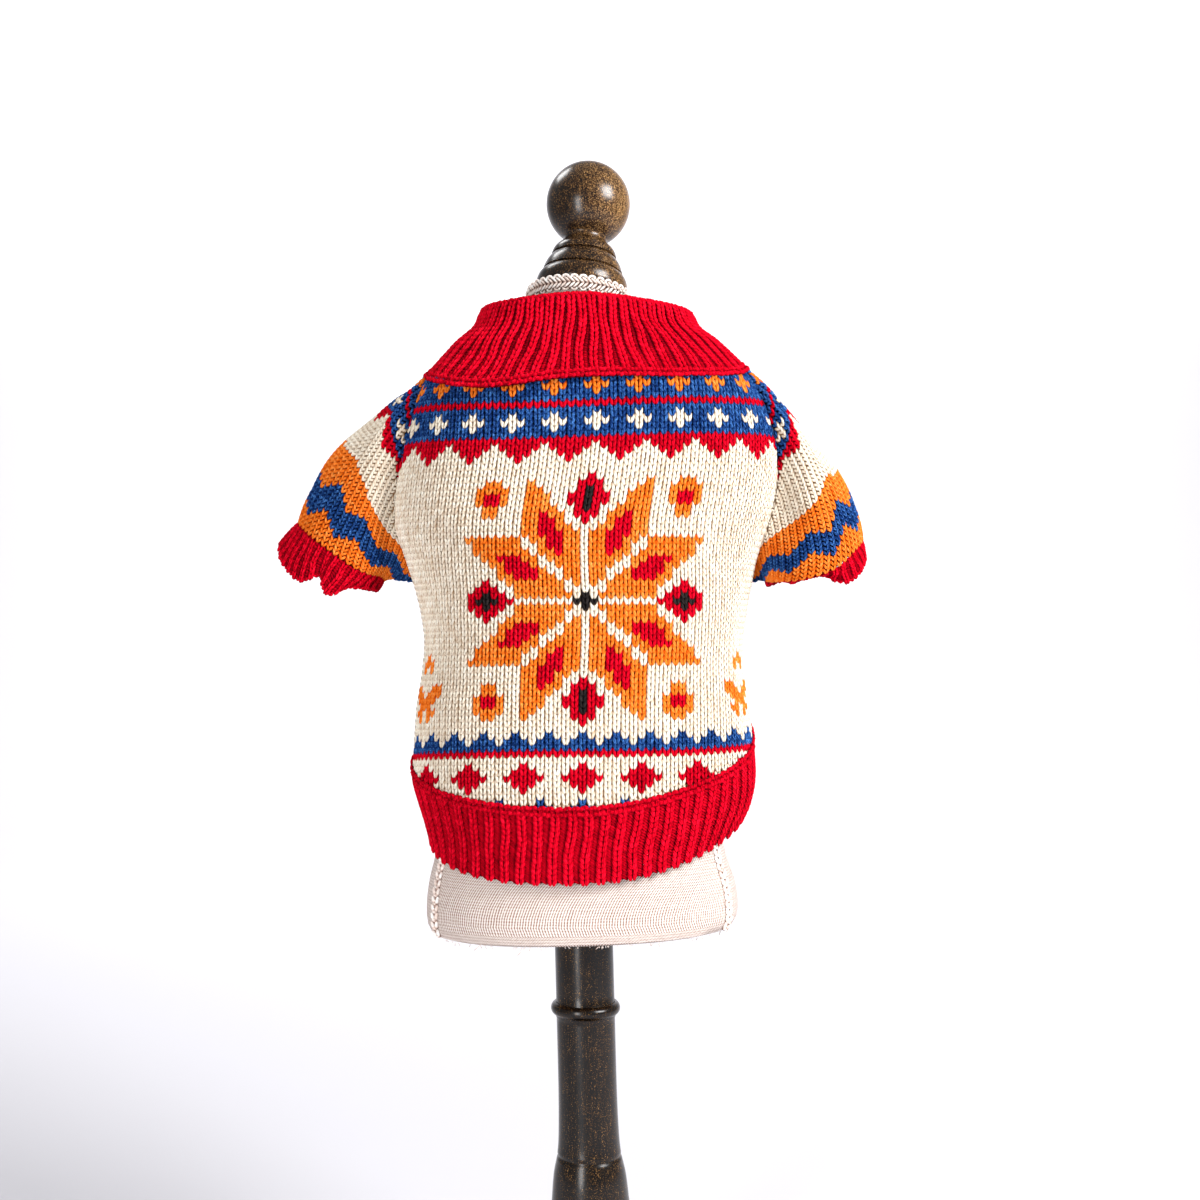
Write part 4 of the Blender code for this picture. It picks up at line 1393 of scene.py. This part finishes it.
def poleProfile():
    profile = [(0.0, 288.7), (18.9, 288.7), (18.9, 246.4)]
    profile += [(18.9, 240.6), (19.0, 240.3)]
    profile += arc(18.0, 236.4, 4.4, 68, -68, 14)
    profile += [(19.3, 231.8), (19.3, 230.9), (18.9, 230.3)]
    profile += softened([(18.9, 228.0), (18.9, 190.0), (19.2, 167.0), (19.8, 151.0), (20.6, 143.0)], 5)
    profile += [(20.1, 142.0), (20.2, 141.2)]
    swelling = [(21.0, 140.2), (23.4, 129.0), (25.0, 113.0), (26.0, 98.0), (25.6, 84.0), (22.6, 66.0)]
    foot = [(22.4, 65.0), (20.5, 52.0), (21.5, 42.0), (27.0, 34.0), (33.0, 28.0), (34.0, 21.0)]
    profile += softened(swelling, 6) + softened(foot, 6)
    return profile + [(34.0, 20.3), (0.0, 20.3)]


def baseProfile():
    profile = [(0.0, 20.0), (60.0, 20.0)]
    profile += softened([(62.0, 20.0), (88.0, 17.2), (102.0, 14.4)], 6)
    profile += arc(102.5, 7.0, 7.4, 82, -60, 14)
    return profile + [(105.0, 0.0), (0.0, 0.0)]


poleLean = 0.026
poleCrossing = 222 * mm  # where the leaning pole crosses the axis
poleUpright = 110 * mm  # below this it stands upright, beside the axis
pole = turnedPiece("pole", poleProfile(), poleWood, "post")
for vertex in pole.data.vertices:  # the pole stands a little crooked under the form
    vertex.co.x += poleLean * (poleCrossing - max(vertex.co.z, poleUpright))
turnedPiece("base", baseProfile(), poleWood, "base_disc")
knob = turnedPiece("finialKnob", finialProfile(), finialWood, "finial")
knobLean = math.radians(4.2)
knobHeight = 701.0 + 29 * math.sin(knobLean)
for vertex in knob.data.vertices:  # the knob leans a little to the right, and back with the neck
    x, y, z = vertex.co
    vertex.co.x = x * math.cos(knobLean) + z * math.sin(knobLean) - 3.0 * mm
    vertex.co.y = y + z * neckTilt
    vertex.co.z = z * math.cos(knobLean) - x * math.sin(knobLean) - y * neckTilt + knobHeight * mm
print("wood turned")


def studio():
    sweep = bmesh.new()
    path = [(-3.5, 0.0), (2.2, 0.0)]
    bend = [math.radians(turn) for turn in range(10, 100, 10)]
    path += [(2.2 + 1.2 * math.sin(turn), 1.2 - 1.2 * math.cos(turn)) for turn in bend]
    path += [(3.4, 4.5)]
    points = [sweep.verts.new((-5, y, z)) for y, z in path]
    edges = [sweep.edges.new(pair) for pair in zip(points, points[1:])]
    made = bmesh.ops.extrude_edge_only(sweep, edges=edges)
    moved = [item for item in made["geom"] if isinstance(item, bmesh.types.BMVert)]
    bmesh.ops.translate(sweep, verts=moved, vec=(10, 0, 0))
    bmesh.ops.recalc_face_normals(sweep, faces=sweep.faces)
    mesh = bpy.data.meshes.new("sweep")
    sweep.to_mesh(mesh)
    sweep.free()
    mesh.shade_smooth()
    paper = newMaterial("whitePaperSweepMatt", {"Roughness": 0.95, "Base Color": srgb("#c9c8cd")})
    mesh.materials.append(paper)
    floor = bpy.data.objects.new("sweep", mesh)
    bpy.context.scene.collection.objects.link(floor)


def softbox(name, place, target, size, power):
    light = bpy.data.lights.new(name, "AREA")
    light.shape = "RECTANGLE"
    light.size, light.size_y = size
    light.energy = power
    lamp = bpy.data.objects.new(name, light)
    lamp.location = place
    lamp.rotation_euler = (Vector(target) - Vector(place)).to_track_quat("-Z", "Y").to_euler()
    bpy.context.scene.collection.objects.link(lamp)


studio()
softbox("keyBox", (1.36, -0.87, 1.4), (0, 0, 0.5), (0.8, 0.8), 64)
softbox("fillBox", (-0.62, -1.25, 0.45), (0, 0, 0.45), (0.26, 0.9), 12)
softbox("rimBox", (-0.63, 0.5, 1.62), (0, 0, 0.7), (0.4, 0.4), 6)
softbox("backdropBox", (0.0, 1.5, 2.5), (0, 3.4, 1.1), (3.4, 0.9), 130)
world = bpy.data.worlds.new("studioRoom")
world.use_nodes = True
world.node_tree.nodes["Background"].inputs["Color"].default_value = (1.0, 1.0, 1.0, 1.0)
world.node_tree.nodes["Background"].inputs["Strength"].default_value = 0.36
bpy.context.scene.world = world
bpy.context.scene.view_settings.view_transform = "Standard"

lens = bpy.data.cameras.new("camera")
lens.lens = 46.8
lens.sensor_width = 36
camera = bpy.data.objects.new("camera", lens)
camera.location = (0.009, -1.014, 0.487)
camera.rotation_euler = (math.radians(90.735), 0, 0)
bpy.context.scene.collection.objects.link(camera)
bpy.context.scene.camera = camera
print("studio lit")
